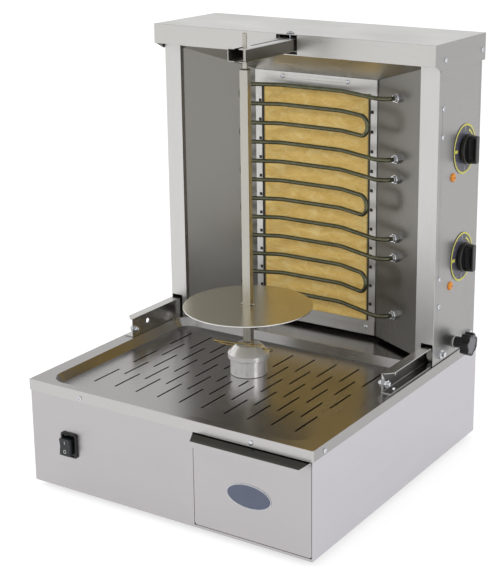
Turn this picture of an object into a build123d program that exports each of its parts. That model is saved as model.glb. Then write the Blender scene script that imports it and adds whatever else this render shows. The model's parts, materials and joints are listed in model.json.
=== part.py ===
from build123d import *
import math
import os

# Vertical kebab grill: a base with a sunk drip tray and a grease drawer, and a heating tower that slides
# on two rails towards the turning spit. The parts are drawn in millimetres from the middle plane (x = 0),
# the front edge of the lid (y = 0, backwards is positive) and the lower edge of the casing (z = 0).
# They are moved to the centre of the whole footprint, with the floor at z = 0, when they are written.

# Base casing and lid
lid_width = 480.0
lid_depth = 500.0
lid_top = 158.0
lid_sheet = 1.5
lid_lip = 16.0
lid_corner = 2.0
casing_sheet = 1.2
seat_gap = 0.3
foot_height = 10.0
foot_radius = 16.0
foot_inset = 48.0
rear_flange = 14.0
tray_side_margin = 23.0
tray_front = 14.0
tray_end_gap = 1.0
tray_depth = 12.0
tray_corner = 30.0
tray_slope = 35.0
slot_length = 58.0
slot_width = 3.0
slot_columns = 5
slot_rows = 5
slot_side_margin = 44.2
slot_front_margin = 51.0
slot_end_margin = 38.0

# Spit and drive
spit_y = 213.0
spit_side = 12.0
spit_turn = 11.0
socket_rise = 18.0
shoulder_drop = 11.0
tip_proud = 20.0
tip_radius = 3.3
hub_radius = 27.5
hub_collar_radius = 31.0
hub_top_radius = 19.5
hub_body_height = 23.0
hub_collar_height = 9.0
hub_height = 45.0
hub_lift = 0.6
socket_gap = 0.15
clip_hole_radius = 2.0
clip_wire = 2.4
clip_eye = 17.0
clip_rise = 39.5
clip_wave_gap = 8.2
disc_radius = 95.5
disc_sheet = 2.0
disc_height = 250.0
disc_pin_radius = 1.6
disc_pin_length = 22.0
shaft_radius = 7.0
shaft_gap = 0.05
boss_radius = 17.0
bearing_flange_radius = 28.0
bearing_radius = 16.0
boss_height = 4.0
gearbox_width = 76.0
gearbox_depth = 92.0
gearbox_base = 82.0
gearbox_height = 38.0
motor_radius = 31.0
motor_base = 18.0

# Grease drawer
drawer_left = 50.0
drawer_sill = 4.0
drawer_depth = 372.0
drawer_top = 141.0
pan_top = 118.0
pan_sheet = 1.0
face_gap = 0.7
handle_reach = 18.0
handle_drop = 5.0
handle_strip = 9.0
handle_taper = 8.0
chute_high = 138.0
chute_low = 127.0
chute_margin = 12.0
runner_sheet = 1.5
runner_height = 22.0
runner_ledge = 14.0
runner_gap = 1.5

# Switch
switch_inset = 71.0
switch_z = 71.0
switch_width = 22.0
switch_height = 30.0
boot_border = 3.6
boot_proud = 3.0
rocker_tilt = 9.0

# Rails, rollers and clamp
rail_length = 267.0
rail_end_gap = 3.0
rail_height = 30.0
rail_width = 14.3
rail_side_gap = 1.0
rail_sheet = 1.5
rail_hole_radius = 3.8
rail_bevel = 12.0
roller_radius = 13.2
roller_width = 11.0
bolt_radius = 4.0
bolt_proud = 10.0
bolt_nut_radius = 7.5
bolt_nut_height = 5.0
roller_front_inset = 20.0
roller_back_inset = 22.0
clamp_inset = 73.0
clamp_rise = 18.0
clamp_washer_proud = 0.4
clamp_neck_radius = 8.5
clamp_head_proud = 16.0
clamp_proud = 30.0
clamp_head_radius = 18.0
clamp_lobes = 7

# Tower
tower_inset = 1.5
tower_sheet = 1.2
tower_depth = 143.0
tower_end_gap = 13.0
tower_lift = 0.4
pillar_width = 29.5
pillar_return = 8.0
rear_flange_width = 22.0
notch_side_gap = 2.5
notch_top_gap = 4.0
cover_top = 636.0
cover_margin = 3.5
cover_overhang = 22.0
cover_front_lip = 30.0
cover_side_lip = 40.0
cover_cut_depth = 22.0
cover_slot_half = 18.0
board_half_width = 107.0
board_inset = 60.0
board_thickness = 20.0
board_rise = 29.0
board_drop = 91.0
strip_width = 11.5
notch_size = 5.0
wall_rise = 7.0
wall_drop = 38.0
bracket_drop = 70.0
bracket_height = 22.0
reflector_drop = 35.0

# Heating elements
tube_radius = 3.25
element_count = 3
element_runs = 4
top_run_rise = 2.0
bottom_run_rise = 28.0
bow_half_flat = 54.0
bow_gap = 14.0
bow_angle = 22.0
bow_end = 98.0
entry_radius = 21.0
bow_radius = 45.0
terminal_share = 0.53
terminal_tail = 26.0
nut_across = 13.0
nut_height = 9.0

# Arm over the spit
arm_half_width = 15.0
arm_drop = 25.0
arm_height = 19.0
arm_sheet = 1.2
arm_overhang = 21.0
arm_tail = 56.0
arm_bridge = 15.0
pin_radius = 2.0
pin_inset = 11.0
pin_depth = 9.0
ring_radius = 5.2
ring_wire = 0.9

# Controls on the right side
dial_radius = 37.5
dial_sheet = 1.0
dial_inset = 55.0
dial_rises = (148.5, 313.5)
knob_radius = 22.5
knob_skirt = 9.0
knob_proud = 22.0
knob_bar = 13.0
regulator_size = 42.0
regulator_depth = 34.0
regulator_shaft_radius = 3.0
lamp_radius = 7.0
lamp_proud = 3.5
lamp_offset = 36.5

# Rear cable gland
gland_inset = 60.0
gland_z = 42.0
gland_bore = 5.0
gland_radius = 11.0
gland_reach = 14.0

# Screws
screw_head_radius = 3.6
screw_head_height = 2.0
screw_shank_radius = 1.8
screw_shank_length = 5.0

lid_screw_inset = 29.0
lid_screw_drop = 10.0
front_screw_x = 145.0
cover_screw_inset = 10.0
cover_screw_drop = 24.0
back_screw_inset = 13.5
rear_screw_inset = 20.2
rear_screw_drop = 18.0

# Sizes that follow from the values above
tray_half_width = lid_width / 2 - tray_side_margin
tower_half_width = lid_width / 2 - tower_inset
tower_back = lid_depth - tower_end_gap
tower_front = tower_back - tower_depth
tray_back = tower_front + tray_end_gap
casing_half = lid_width / 2 - lid_sheet - seat_gap
casing_front = lid_sheet + seat_gap
casing_back = lid_depth - casing_front
casing_height = lid_top - lid_sheet
casing_inner = casing_half - casing_sheet
tray_floor = lid_top - tray_depth
lip_bottom = lid_top - lid_lip
tower_bottom = lid_top + tower_lift
tower_inner = tower_half_width - tower_sheet
tower_top = cover_top - tower_sheet
panel_back = tower_back - tower_sheet
rail_back = tower_back - rail_end_gap
rail_front = rail_back - rail_length
rail_top = lid_top + rail_height
rail_floor = lid_top + rail_sheet
roller_z = rail_floor + seat_gap + roller_radius
rail_reach = tower_inner - rail_side_gap
rail_web = rail_reach - rail_width
roller_x = rail_web + rail_sheet + 0.5
roller_end = roller_x + roller_width
roller_front_y = tower_front + roller_front_inset
roller_back_y = tower_back - roller_back_inset
clamp_y = tower_front + clamp_inset
clamp_z = lid_top + clamp_rise
clamp_washer_x = tower_half_width + clamp_washer_proud
clamp_head_x = tower_half_width + clamp_head_proud
clamp_end_x = tower_half_width + clamp_proud
pillar_inner = tower_half_width - pillar_width
notch_inner = rail_web - rail_sheet - notch_side_gap
notch_top = rail_top + notch_top_gap
cover_half_width = tower_half_width + cover_margin
cover_front = tower_front - cover_overhang
board_front = tower_front + board_inset
board_back = board_front + board_thickness
board_bottom = lid_top + board_rise
board_top = cover_top - board_drop
wall_bottom = lid_top + wall_rise
bracket_top = cover_top - bracket_drop
reflector_front_z = cover_top - reflector_drop
top_run = board_top + top_run_rise
run_spacing = (top_run - board_bottom - bottom_run_rise) / (element_count * element_runs - 1)
element_tops = [top_run - i * element_runs * run_spacing for i in range(element_count)]
bow_back = board_front - bow_gap
wall_start = (pillar_inner + tower_sheet, tower_front + pillar_return)
wall_end = (board_half_width + 1.5, board_front)
drawer_right = casing_inner - face_gap
hub_base = tray_floor + hub_lift
clip_height = tray_floor + clip_rise
arm_bottom = cover_top - arm_drop
arm_top = arm_bottom + arm_height
arm_front = spit_y - arm_overhang
arm_slit_front = spit_y + arm_bridge
arm_back = tower_front + arm_tail
pin_y = cover_front + pin_inset
pin_foot = arm_top - pin_depth
spit_foot = tray_floor + socket_rise
spit_shoulder = arm_bottom - shoulder_drop
spit_end = arm_top + tip_proud
chute_left = -(tray_half_width - chute_margin)
switch_x = -(lid_width / 2 - switch_inset)
switch_pivot_y = casing_front + 3.0
gland_x = -(lid_width / 2 - gland_inset)
dial_y = tower_back - dial_inset
dial_heights = [lid_top + rise for rise in dial_rises]
lamp_y = dial_y - lamp_offset
spit = (0.0, spit_y)
left_reach = -(tower_half_width + bolt_proud)
right_reach = clamp_end_x
front_reach = casing_front - handle_reach
back_reach = casing_back + gland_reach
middle_x = (left_reach + right_reach) / 2
middle_y = (front_reach + back_reach) / 2


def block(x0, x1, y0, y1, z0, z1):
    """Box between two corners."""
    size = Box(x1 - x0, y1 - y0, z1 - z0)
    return Pos((x0 + x1) / 2, (y0 + y1) / 2, (z0 + z1) / 2) * size


def rod_x(radius, x0, x1, y, z):
    """Round bar along x."""
    return Pos((x0 + x1) / 2, y, z) * Rot(0, 90, 0) * Cylinder(radius, abs(x1 - x0))


def rod_y(radius, x, y0, y1, z):
    """Round bar along y."""
    return Pos(x, (y0 + y1) / 2, z) * Rot(90, 0, 0) * Cylinder(radius, abs(y1 - y0))


def rod_z(radius, x, y, z0, z1):
    """Round bar along z."""
    return Pos(x, y, (z0 + z1) / 2) * Cylinder(radius, abs(z1 - z0))


def hexagon_x(across, x0, x1, y, z):
    """Hexagonal nut blank along x, sized across its flats."""
    blank = extrude(RegularPolygon(across / 2, 6, major_radius=False), abs(x1 - x0))
    return Pos(min(x0, x1), y, z) * Rot(0, 90, 0) * Rot(0, 0, 30) * blank


def offset_side(points, distance):
    """Points of an open plan line moved sideways, to the left of its direction, with mitred corners."""
    moved = []
    for i, (x, y) in enumerate(points):
        before = points[max(i - 1, 0)]
        after = points[min(i + 1, len(points) - 1)]
        first = (Vector(x, y) - Vector(*before)) if i > 0 else (Vector(*after) - Vector(x, y))
        second = (Vector(*after) - Vector(x, y)) if i < len(points) - 1 else first
        first = first.normalized()
        second = second.normalized()
        left = Vector(-first.Y - second.Y, first.X + second.X)
        scale = distance / (1 + first.dot(second))
        moved.append((x + left.X * scale, y + left.Y * scale))
    return moved


def folded(points, thickness, z0, z1):
    """Upright folded sheet: a plan line given its thickness to the left and its height."""
    outline = points + offset_side(points, thickness)[::-1]
    return Pos(0, 0, z0) * extrude(make_face(Polyline(*outline, close=True)), z1 - z0)


def screw(head_out):
    """Pan-head screw at the origin: its head points along head_out and its shank goes the other way."""
    head = Cone(screw_head_radius, screw_head_radius * 0.7, screw_head_height)
    shank = Pos(0, 0, -(screw_head_height + screw_shank_length) / 2) * Cylinder(screw_shank_radius, screw_shank_length)
    upright = Pos(0, 0, screw_head_height / 2) * (head + shank)
    return Plane((0, 0, 0), z_dir=head_out).location * upright


def screws(places, head_out):
    """Group of equal screws whose heads sit on one face."""
    return Compound([Pos(*place) * screw(head_out).solid() for place in places])


def drilled(sheet_part, places, along):
    """Sheet with a clearance hole at each screw place."""
    for place in places:
        hole = Cylinder(screw_shank_radius + 0.2, 4 * screw_shank_length)
        sheet_part = sheet_part - Pos(*place) * Plane((0, 0, 0), z_dir=along).location * hole
    return sheet_part


def both_sides(shape):
    """A right-hand solid and its left-hand mirror as two solids in one node."""
    return Compound([shape.solid(), mirror(shape, about=Plane.YZ).solid()])


# Screw places, shared by the screws and by the holes that take them
lid_screw_z = lid_top - lid_screw_drop
lid_screw_rows = (lid_screw_inset, lid_depth - lid_screw_inset)
lid_front_screws = [(x, 0, lid_screw_z) for x in (-front_screw_x, front_screw_x)]
lid_side_screws = [(lid_width / 2, y, lid_screw_z) for y in lid_screw_rows]
side_screw_heights = (lid_top + 90.0, lid_top + 132.0, cover_top - 135.0, cover_top - 94.0)
side_screws = [(tower_half_width, tower_front + 14.0, z) for z in side_screw_heights]
cover_screw_rows = (tower_front + cover_screw_inset, tower_back - cover_screw_inset)
cover_side_screws = [(cover_half_width, y, cover_top - cover_screw_drop) for y in cover_screw_rows]
bracket_y = board_front - 2 * tower_sheet
upper_bracket_x = board_half_width - 49.0
lower_bracket_x = board_half_width - 13.0
bracket_screws = [(x, bracket_y, bracket_top - 7.0) for x in (-upper_bracket_x, upper_bracket_x)]
lower_screws = [(x, bracket_y, wall_bottom + 12.0) for x in (-lower_bracket_x, lower_bracket_x)]
back_screw_x = tower_half_width - back_screw_inset
back_screw_heights = (notch_top + 18.0, (notch_top + cover_top) / 2, cover_top - 46.0)
back_screws = [(x, tower_back, z) for x in (-back_screw_x, back_screw_x) for z in back_screw_heights]
rear_screw_x = casing_half - rear_screw_inset
rear_screws = [(x, casing_back, lip_bottom - rear_screw_drop) for x in (-rear_screw_x, rear_screw_x)]
rail_screw_places = [(rail_web + 7.0, y, rail_floor) for y in (rail_front + 20.0, rail_back - 5.0)]


def recess(width_half, front, back, top, depth, corner):
    """Sunk pan shape: a rounded rectangle that narrows downwards."""
    outline = RectangleRounded(2 * width_half, back - front, corner)
    return Pos(0, (front + back) / 2, top) * extrude(outline, depth, dir=(0, 0, -1), taper=tray_slope)


def slot_spans():
    """Plan places of the drain slots: x, first y and last y, kept clear of the hub."""
    spans = []
    clear = hub_collar_radius + 4.0
    pitch_x = (tray_half_width - slot_side_margin) / (slot_columns - 0.5)
    field_start = tray_front + slot_front_margin
    field_end = tray_back - slot_end_margin - slot_length
    pitch_y = (field_end - field_start) / (slot_rows - 1)
    for row in range(slot_rows):
        first = field_start + row * pitch_y
        shift = 0.5 if row % 2 == 0 else 0.0
        for column in range(-slot_columns, slot_columns + 1):
            x = (column + shift) * pitch_x
            if abs(column + shift) > slot_columns - 0.4:
                continue
            start, end = first, first + slot_length
            if abs(x) < clear:
                half = math.sqrt(clear ** 2 - x ** 2)
                if start < spit_y < end or abs(end - spit_y) < half:
                    if end - spit_y < spit_y - start:
                        end = min(end, spit_y - half)
                    else:
                        start = max(start, spit_y + half)
            if end - start > 3 * slot_width:
                spans.append((x, start, end))
    return spans


def tray_lid():
    """Top sheet with a turned-down rim, a sunk tray with drain slots and a raised collar for the shaft."""
    half = lid_width / 2
    plate = extrude(RectangleRounded(lid_width, lid_depth, lid_corner), lid_lip)
    plate = Pos(0, lid_depth / 2, lip_bottom) * plate
    hollow = extrude(RectangleRounded(lid_width - 2 * lid_sheet, lid_depth - 2 * lid_sheet, lid_corner - lid_sheet),
                     lid_lip - lid_sheet)
    plate = plate - Pos(0, lid_depth / 2, lip_bottom) * hollow
    wall = lid_sheet / math.cos(math.radians(tray_slope))
    pan = recess(tray_half_width + wall, tray_front - wall, tray_back + wall, lid_top, tray_depth + lid_sheet,
                 tray_corner + wall)
    sunk = recess(tray_half_width, tray_front, tray_back, lid_top, tray_depth, tray_corner)
    part = plate + pan - sunk
    for x, start, end in slot_spans():
        part = part - block(x - slot_width / 2, x + slot_width / 2, start, end, tray_floor - 5, tray_floor + 5)
    part = part + rod_z(boss_radius, *spit, tray_floor - lid_sheet, tray_floor + boss_height)
    part = part - rod_z(shaft_radius + 1.5, *spit, tray_floor - 5, tray_floor + boss_height + 5)
    part = drilled(part, lid_front_screws, (0, 1, 0))
    part = drilled(part, lid_side_screws, (1, 0, 0))
    part = drilled(part, [(-x, y, z) for x, y, z in lid_side_screws], (1, 0, 0))
    for side in (1, -1):
        part = drilled(part, [(side * x, y, z) for x, y, z in rail_screw_places], (0, 0, 1))
    return part


def lid_screws():
    """Screws through the lid's rim, front and both sides."""
    left = [(-x, y, z) for x, y, z in lid_side_screws]
    groups = screws(lid_front_screws, (0, -1, 0)).solids() + screws(lid_side_screws, (1, 0, 0)).solids()
    return Compound(groups + screws(left, (-1, 0, 0)).solids())


def casing():
    """Front and both sides of the base in one folded sheet, open behind, with the drawer and switch cut-outs."""
    line = [(-casing_half, casing_back), (-casing_half, casing_front), (casing_half, casing_front),
            (casing_half, casing_back)]
    part = folded(line, casing_sheet, 0, casing_height)
    opening = block(drawer_left - face_gap, casing_inner, casing_front - 5, casing_front + 5, drawer_sill, lip_bottom + 0.5)
    hole = block(switch_x - switch_width / 2, switch_x + switch_width / 2, casing_front - 5, casing_front + 5,
                 switch_z - switch_height / 2, switch_z + switch_height / 2)
    part = part - opening - hole
    part = drilled(part, lid_front_screws, (0, 1, 0))
    part = drilled(part, lid_side_screws, (1, 0, 0))
    return drilled(part, [(-x, y, z) for x, y, z in lid_side_screws], (1, 0, 0))


def bottom_plate():
    """Floor sheet of the base with turned-up side flanges and vent slots under the motor."""
    inner = casing_inner
    back = casing_back
    front = casing_front + casing_sheet
    plate = block(-inner, inner, front, back, 0, casing_sheet)
    flange_height = 18.0
    flange_back = casing_back - rear_flange - 1
    for side in (-1, 1):
        x0 = side * (inner - casing_sheet)
        x1 = side * inner
        plate = plate + block(min(x0, x1), max(x0, x1), front, flange_back, 0, flange_height)
    vent_rows = 6
    for row in range(vent_rows):
        y = spit_y - 60 + row * 24
        plate = plate - block(-inner + 45, -gearbox_width, y, y + 6, -5, 5)
    return plate


def rear_panel():
    """Back of the base, set between the sides, with flanges, vent slots and the gland's hole."""
    back = casing_back
    fold = back - rear_flange
    line = [(casing_inner, fold), (casing_inner, back), (-casing_inner, back), (-casing_inner, fold)]
    part = folded(line, casing_sheet, casing_sheet, casing_height)
    vent_columns = 8
    vent_top = lip_bottom - 32
    for column in range(vent_columns):
        x = -60 + column * 18
        part = part - block(x, x + 6, back - 5, back + 5, vent_top - 50, vent_top)
    part = part - rod_y(gland_radius - 1.5, gland_x, back - 5, back + 5, gland_z)
    return drilled(part, rear_screws, (0, 1, 0))


def feet():
    """Four round rubber feet, slightly tapered."""
    places = [(x, y) for x in (-1, 1) for y in (foot_inset, lid_depth - foot_inset)]
    foot = Pos(0, 0, -foot_height / 2) * Cone(foot_radius * 0.85, foot_radius, foot_height)
    foot = foot.solid()
    return Compound([Pos(side * (casing_half - foot_inset), y, 0) * foot for side, y in places])


def drawer_runners():
    """Two angle runners on the floor that carry and guide the drawer pan."""
    wall = runner_sheet
    left = drawer_left + runner_gap
    right = drawer_right - runner_gap
    back = casing_front + drawer_depth
    front = casing_front + 6
    base = casing_sheet
    runner = []
    for x, side in ((left, 1), (right, -1)):
        web_x = sorted((x, x + side * wall))
        ledge_x = sorted((x, x + side * runner_ledge))
        upright = block(*web_x, front, back, base, base + runner_height)
        ledge = block(*ledge_x, front, back, base, base + 3 * runner_sheet)
        runner.append((upright + ledge).solid())
    return Compound(runner)


def bay_partition():
    """Upright sheet between the motor bay and the drawer bay."""
    x = drawer_left - 3
    line = [(x - 12, casing_back - 30), (x, casing_back - 30), (x, casing_front + 4), (x - 12, casing_front + 4)]
    return folded(line, casing_sheet, casing_sheet, chute_low - 1.5)


def grease_chute():
    """Sloped pan under the drain slots that sheds fat into the drawer, with a collar round the bearing."""
    fall = (chute_high - chute_low) / (drawer_left + 8 - chute_left)
    angle = math.degrees(math.atan(fall))
    right = drawer_left + 8
    front = casing_front + 8
    back = tray_back + 6
    length = (right - chute_left) / math.cos(math.radians(angle))
    middle = ((right + chute_left) / 2, (front + back) / 2, (chute_high + chute_low) / 2 - casing_sheet)
    sheet = Pos(*middle) * Rot(0, angle, 0) * Box(length, back - front, casing_sheet)
    rim = block(chute_left, right, front, front + casing_sheet, chute_low - 1, chute_high + 3)
    far_rim = block(chute_left, right, back - casing_sheet, back, chute_low - 1, chute_high + 3)
    left_rim = block(chute_left, chute_left + casing_sheet, front, back, chute_high - 2, chute_high + 3)
    bearing_room = bearing_flange_radius + 6.5
    collar = rod_z(bearing_room + 1.5, *spit, chute_low, chute_high + 3)
    part = sheet + rim + far_rim + left_rim + collar
    return part - rod_z(bearing_room, *spit, chute_low - 20, chute_high + 20)


def drawer_pan():
    """Open-topped grease pan of the drawer."""
    left = drawer_left + runner_gap + runner_sheet + seat_gap
    right = drawer_right - runner_gap - runner_sheet - seat_gap
    front = casing_front + casing_sheet
    back = casing_front + drawer_depth
    base = casing_sheet + 3 * runner_sheet + seat_gap
    corner = 6.0
    outer = block(left, right, front, back, base, pan_top)
    inner = block(left + pan_sheet, right - pan_sheet, front + pan_sheet, back - pan_sheet, base + pan_sheet, pan_top + 5)
    outer = fillet(outer.edges().filter_by(Axis.Y).group_by(Axis.Z)[0], corner)
    inner = fillet(inner.edges().filter_by(Axis.Y).group_by(Axis.Z)[0], corner - pan_sheet)
    return outer - inner


def drawer_front():
    """Face of the drawer, flush with the casing, its top edge folded out into a full-width grip."""
    left = drawer_left
    bottom = drawer_sill + face_gap
    face = block(left, drawer_right, casing_front, casing_front + casing_sheet, bottom, drawer_top)
    corners = face.edges().filter_by(Axis.Y).group_by(Axis.Z)[0]
    face = fillet(corners, 4)
    out = casing_front - handle_reach
    low = drawer_top - handle_drop
    profile = [(casing_front + casing_sheet, drawer_top), (out, low), (out, low - handle_strip),
               (out + casing_sheet, low - handle_strip), (out + casing_sheet, low - casing_sheet * 0.7),
               (casing_front + casing_sheet, drawer_top - casing_sheet * 1.1)]
    grip = extrude(Plane.YZ * make_face(Polyline(*profile, close=True)), drawer_right - left)
    grip = Pos(left, 0, 0) * grip
    ends = [(left, casing_front + 5), (left, casing_front), (left + handle_taper, out - 1),
            (drawer_right - handle_taper, out - 1), (drawer_right, casing_front), (drawer_right, casing_front + 5)]
    plan = extrude(make_face(Polyline(*ends, close=True)), lid_top)
    return face + (grip & plan)


def switch_body():
    """Switch housing: a block behind the front sheet and a thin bezel in front of it."""
    depth = 24.0
    half_w = switch_width / 2 - 0.2
    half_h = switch_height / 2 - 0.2
    part = block(switch_x - half_w, switch_x + half_w, casing_front - 2, casing_front + depth,
                 switch_z - half_h, switch_z + half_h)
    mouth = block(switch_x - half_w + 1.6, switch_x + half_w - 1.6, casing_front - 5, casing_front + 9,
                  switch_z - half_h + 1.6, switch_z + half_h - 1.6)
    return part - mouth


def switch_boot():
    """Rubber frame round the rocker, seated on the front sheet."""
    half_w = switch_width / 2 + boot_border
    half_h = switch_height / 2 + boot_border
    outer = block(switch_x - half_w, switch_x + half_w, casing_front - boot_proud, casing_front,
                  switch_z - half_h, switch_z + half_h)
    outer = fillet(outer.edges().filter_by(Axis.Y), 4)
    outer = chamfer(outer.faces().sort_by(Axis.Y)[0].edges(), 1.2)
    window = block(switch_x - switch_width / 2, switch_x + switch_width / 2, casing_front - 9, casing_front + 5,
                   switch_z - switch_height / 2, switch_z + switch_height / 2)
    return outer - window


def switch_rocker():
    """Curved rocker key on two pivot stubs, standing tilted to one side at rest."""
    half_w = switch_width / 2 - 2.4
    half_h = switch_height / 2 - 3.2
    front = 7.5
    hollow = 2.0
    stub = 1.6
    ends = [Vector(0, -front - hollow, side * half_h) for side in (-1, 1)]
    face = ThreePointArc(ends[0], Vector(0, -front, 0), ends[1])
    back = Polyline(ends[1], (0, 2.0, 3.0), (0, 2.0, -3.0), ends[0])
    key = extrude(make_face(face.edges() + back.edges()), half_w, dir=(1, 0, 0), both=True)
    key = key + rod_x(stub, -half_w - 0.5, half_w + 0.5, 0, 0)
    return Pos(switch_x, switch_pivot_y, switch_z) * Rot(rocker_tilt, 0, 0) * key


def gearmotor():
    """Gearbox with its motor can below it."""
    y0 = spit_y - gearbox_depth * 0.35
    box = block(-gearbox_width / 2, gearbox_width / 2, y0, y0 + gearbox_depth, gearbox_base,
                gearbox_base + gearbox_height)
    box = fillet(box.edges().filter_by(Axis.Z), 8)
    can = rod_z(motor_radius, 0, spit_y + 14, motor_base, gearbox_base)
    cap = rod_z(motor_radius * 0.45, 0, spit_y + 14, motor_base - 4, motor_base)
    return box + can + cap - rod_z(shaft_radius + 0.5, *spit, gearbox_base + 8, gearbox_base + 99)


def motor_bracket():
    """Bridge that carries the gearbox: a top plate on two legs with feet on the floor sheet."""
    wall = 2.0
    half = gearbox_width / 2 - 1
    y0 = spit_y - gearbox_depth * 0.35
    y1 = y0 + gearbox_depth
    top = gearbox_base
    part = block(-half, half, y0 - 12, y1 + 12, top - wall, top)
    for y in (y0 - 12, y1 + 12 - wall):
        part = part + block(-half, half, y, y + wall, casing_sheet, top)
    part = part + block(-half, half, y0 - 26, y0 - 12, casing_sheet, casing_sheet + wall)
    part = part + block(-half, half, y1 + 12, y1 + 26, casing_sheet, casing_sheet + wall)
    return part - rod_z(motor_radius + 1, 0, spit_y + 14, 20, top + 5)


def shaft_bearing():
    """Flanged bush under the tray that carries the output shaft."""
    top = tray_floor - lid_sheet
    part = rod_z(bearing_flange_radius, *spit, top - 5, top)
    part = part + rod_z(bearing_radius, *spit, gearbox_base + gearbox_height, top)
    return part - rod_z(shaft_radius + shaft_gap, *spit, gearbox_base, lid_top)


def output_shaft():
    """Drive shaft from the gearbox into the hub, with a drive flat at its top."""
    top = tray_floor + boss_height + 7
    part = rod_z(shaft_radius, *spit, gearbox_base + 9, top)
    flat = block(-20, 20, spit_y - shaft_radius, spit_y - shaft_radius + 1.6, tray_floor + boss_height + 1, top + 5)
    return part - flat


def hub():
    """Turned aluminium hub: body, collar and cone, with a square socket for the spit."""
    body = hub_base + hub_body_height
    collar = body + hub_collar_height
    top = tray_floor + hub_height
    bevel = hub_collar_radius - hub_radius
    line = Polyline((0, hub_base), (hub_radius, hub_base), (hub_radius, body), (hub_collar_radius, body + bevel * 0.6),
                    (hub_collar_radius, collar), (hub_top_radius, top - 1), (hub_top_radius - 1, top), (0, top),
                    close=True)
    part = Pos(*spit, 0) * revolve(Plane.XZ * make_face(line), Axis.Z)
    part = part - rod_z(boss_radius + 2, *spit, hub_base - 5, tray_floor + boss_height + 1)
    bore = rod_z(shaft_radius + socket_gap, *spit, hub_base, tray_floor + boss_height + 7.5)
    flat = block(-20, 20, spit_y - 20, spit_y - shaft_radius + 1.6 - socket_gap, hub_base, lid_top + 10)
    part = part - (bore - flat)
    side = spit_side + 2 * socket_gap
    socket = Pos(*spit, (spit_foot + top + 5) / 2) * Rot(0, 0, spit_turn) * Box(side, side, top + 5 - spit_foot)
    return part - socket - across_spit(clip_hole_radius, 90, clip_height)


def spit_bar():
    """Square bar with a shoulder and a round tip, drilled for the clip and for the disc pins."""
    bar = Box(spit_side, spit_side, spit_shoulder - spit_foot - seat_gap)
    bar = chamfer(bar.edges().group_by(Axis.Z)[-1], 2)
    part = Pos(*spit, (spit_shoulder + spit_foot + seat_gap) / 2) * Rot(0, 0, spit_turn) * bar
    tip = Cylinder(tip_radius, spit_end - spit_shoulder)
    tip = chamfer(tip.edges().group_by(Axis.Z)[-1], 1.2)
    part = part + Pos(*spit, (spit_shoulder + spit_end) / 2) * tip
    part = part - across_spit(clip_hole_radius, 90, clip_height)
    for z in disc_pin_heights():
        part = part - across_spit(disc_pin_radius + 0.05, 40, z)
    return part


def across_spit(radius, length, z):
    """Round bar across the spit, square to one of its faces."""
    return Pos(*spit, z) * Rot(0, 0, spit_turn) * Rot(0, 90, 0) * Cylinder(radius, length)


def disc_pin_heights():
    """Axis heights of the pins under and over the meat disc."""
    under = disc_height - disc_sheet / 2 - disc_pin_radius
    over = disc_height + disc_sheet / 2 + disc_pin_radius
    return (under - 0.05, over + 0.05)


def disc_pins():
    """Two cross pins through the spit: one carries the disc and one keeps it down."""
    return Compound([across_spit(disc_pin_radius, disc_pin_length, z).solid() for z in disc_pin_heights()])


def meat_disc():
    """Round plate with a square hole that slides over the spit."""
    side = spit_side + 2 * socket_gap
    disc = Cylinder(disc_radius, disc_sheet)
    disc = fillet(disc.edges(), 0.6)
    part = disc - Rot(0, 0, spit_turn) * Box(side, side, 10)
    return Pos(*spit, disc_height) * part


def hub_clip():
    """Hairpin clip: a straight leg through the hub and the spit, a round eye and a waved leg over the hub."""
    reach = hub_collar_radius + 7
    wire = clip_wire / 2
    rise = clip_height + clip_wave_gap
    eye = -(hub_collar_radius + 5)
    path = FilletPolyline(
        (reach, 0, clip_height), (eye, 0, clip_height), (eye - clip_eye, 3, clip_height + 1),
        (eye - clip_eye, -9, rise - 1), (eye, -11, rise), (-14, -11.5, rise), (0, -9.6, rise), (14, -12, rise),
        (25, -10, rise + 1),
        radius=[6, 5, 5, 6, 6, 6, 6])
    leg = sweep(Plane(path @ 0, z_dir=path % 0) * Circle(wire), path=path)
    return Pos(*spit, 0) * Rot(0, 0, spit_turn) * leg


def rail(side):
    """C rail, open outwards, with a bevelled upper flange in front and a hole in its web."""
    web = block(rail_web - rail_sheet, rail_web, rail_front, rail_back, lid_top, rail_top)
    lower = block(rail_web - rail_sheet, rail_reach, rail_front, rail_back, lid_top, rail_floor)
    upper = block(rail_web - rail_sheet, rail_reach, rail_front, rail_back, rail_top - rail_sheet, rail_top)
    bevel = [(rail_reach + 1, rail_front - 1), (rail_reach + 1, rail_front + rail_bevel),
             (rail_reach - rail_bevel, rail_front - 1)]
    upper = upper - Pos(0, 0, rail_top - 10) * extrude(make_face(Polyline(*bevel, close=True)), 20)
    part = web + lower + upper
    part = part - rod_x(rail_hole_radius, rail_web - 10, rail_web + 5, rail_front + 38, lid_top + 17)
    part = part - rod_x(bolt_radius * 0.75 + 0.1, rail_web - 10, rail_web + 5, rail_front + 8, lid_top + 12)
    part = drilled(part, rail_screw_places, (0, 0, 1))
    return part if side > 0 else mirror(part, about=Plane.YZ)


def rail_fasteners():
    """Flange screws and front stop bolts of both rails."""
    right = screws(rail_screw_places, (0, 0, 1)).solids()
    bolt = rod_x(bolt_radius * 0.75, rail_web - 9, rail_web + 8, rail_front + 8, lid_top + 12)
    head = hexagon_x(10.0, rail_web, rail_web + 5, rail_front + 8, lid_top + 12)
    nut = hexagon_x(10.0, rail_web - rail_sheet - 5, rail_web - rail_sheet, rail_front + 8, lid_top + 12)
    right = right + [(bolt + head + nut).solid()]
    return Compound(right + [mirror(piece, about=Plane.YZ) for piece in right])


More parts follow.
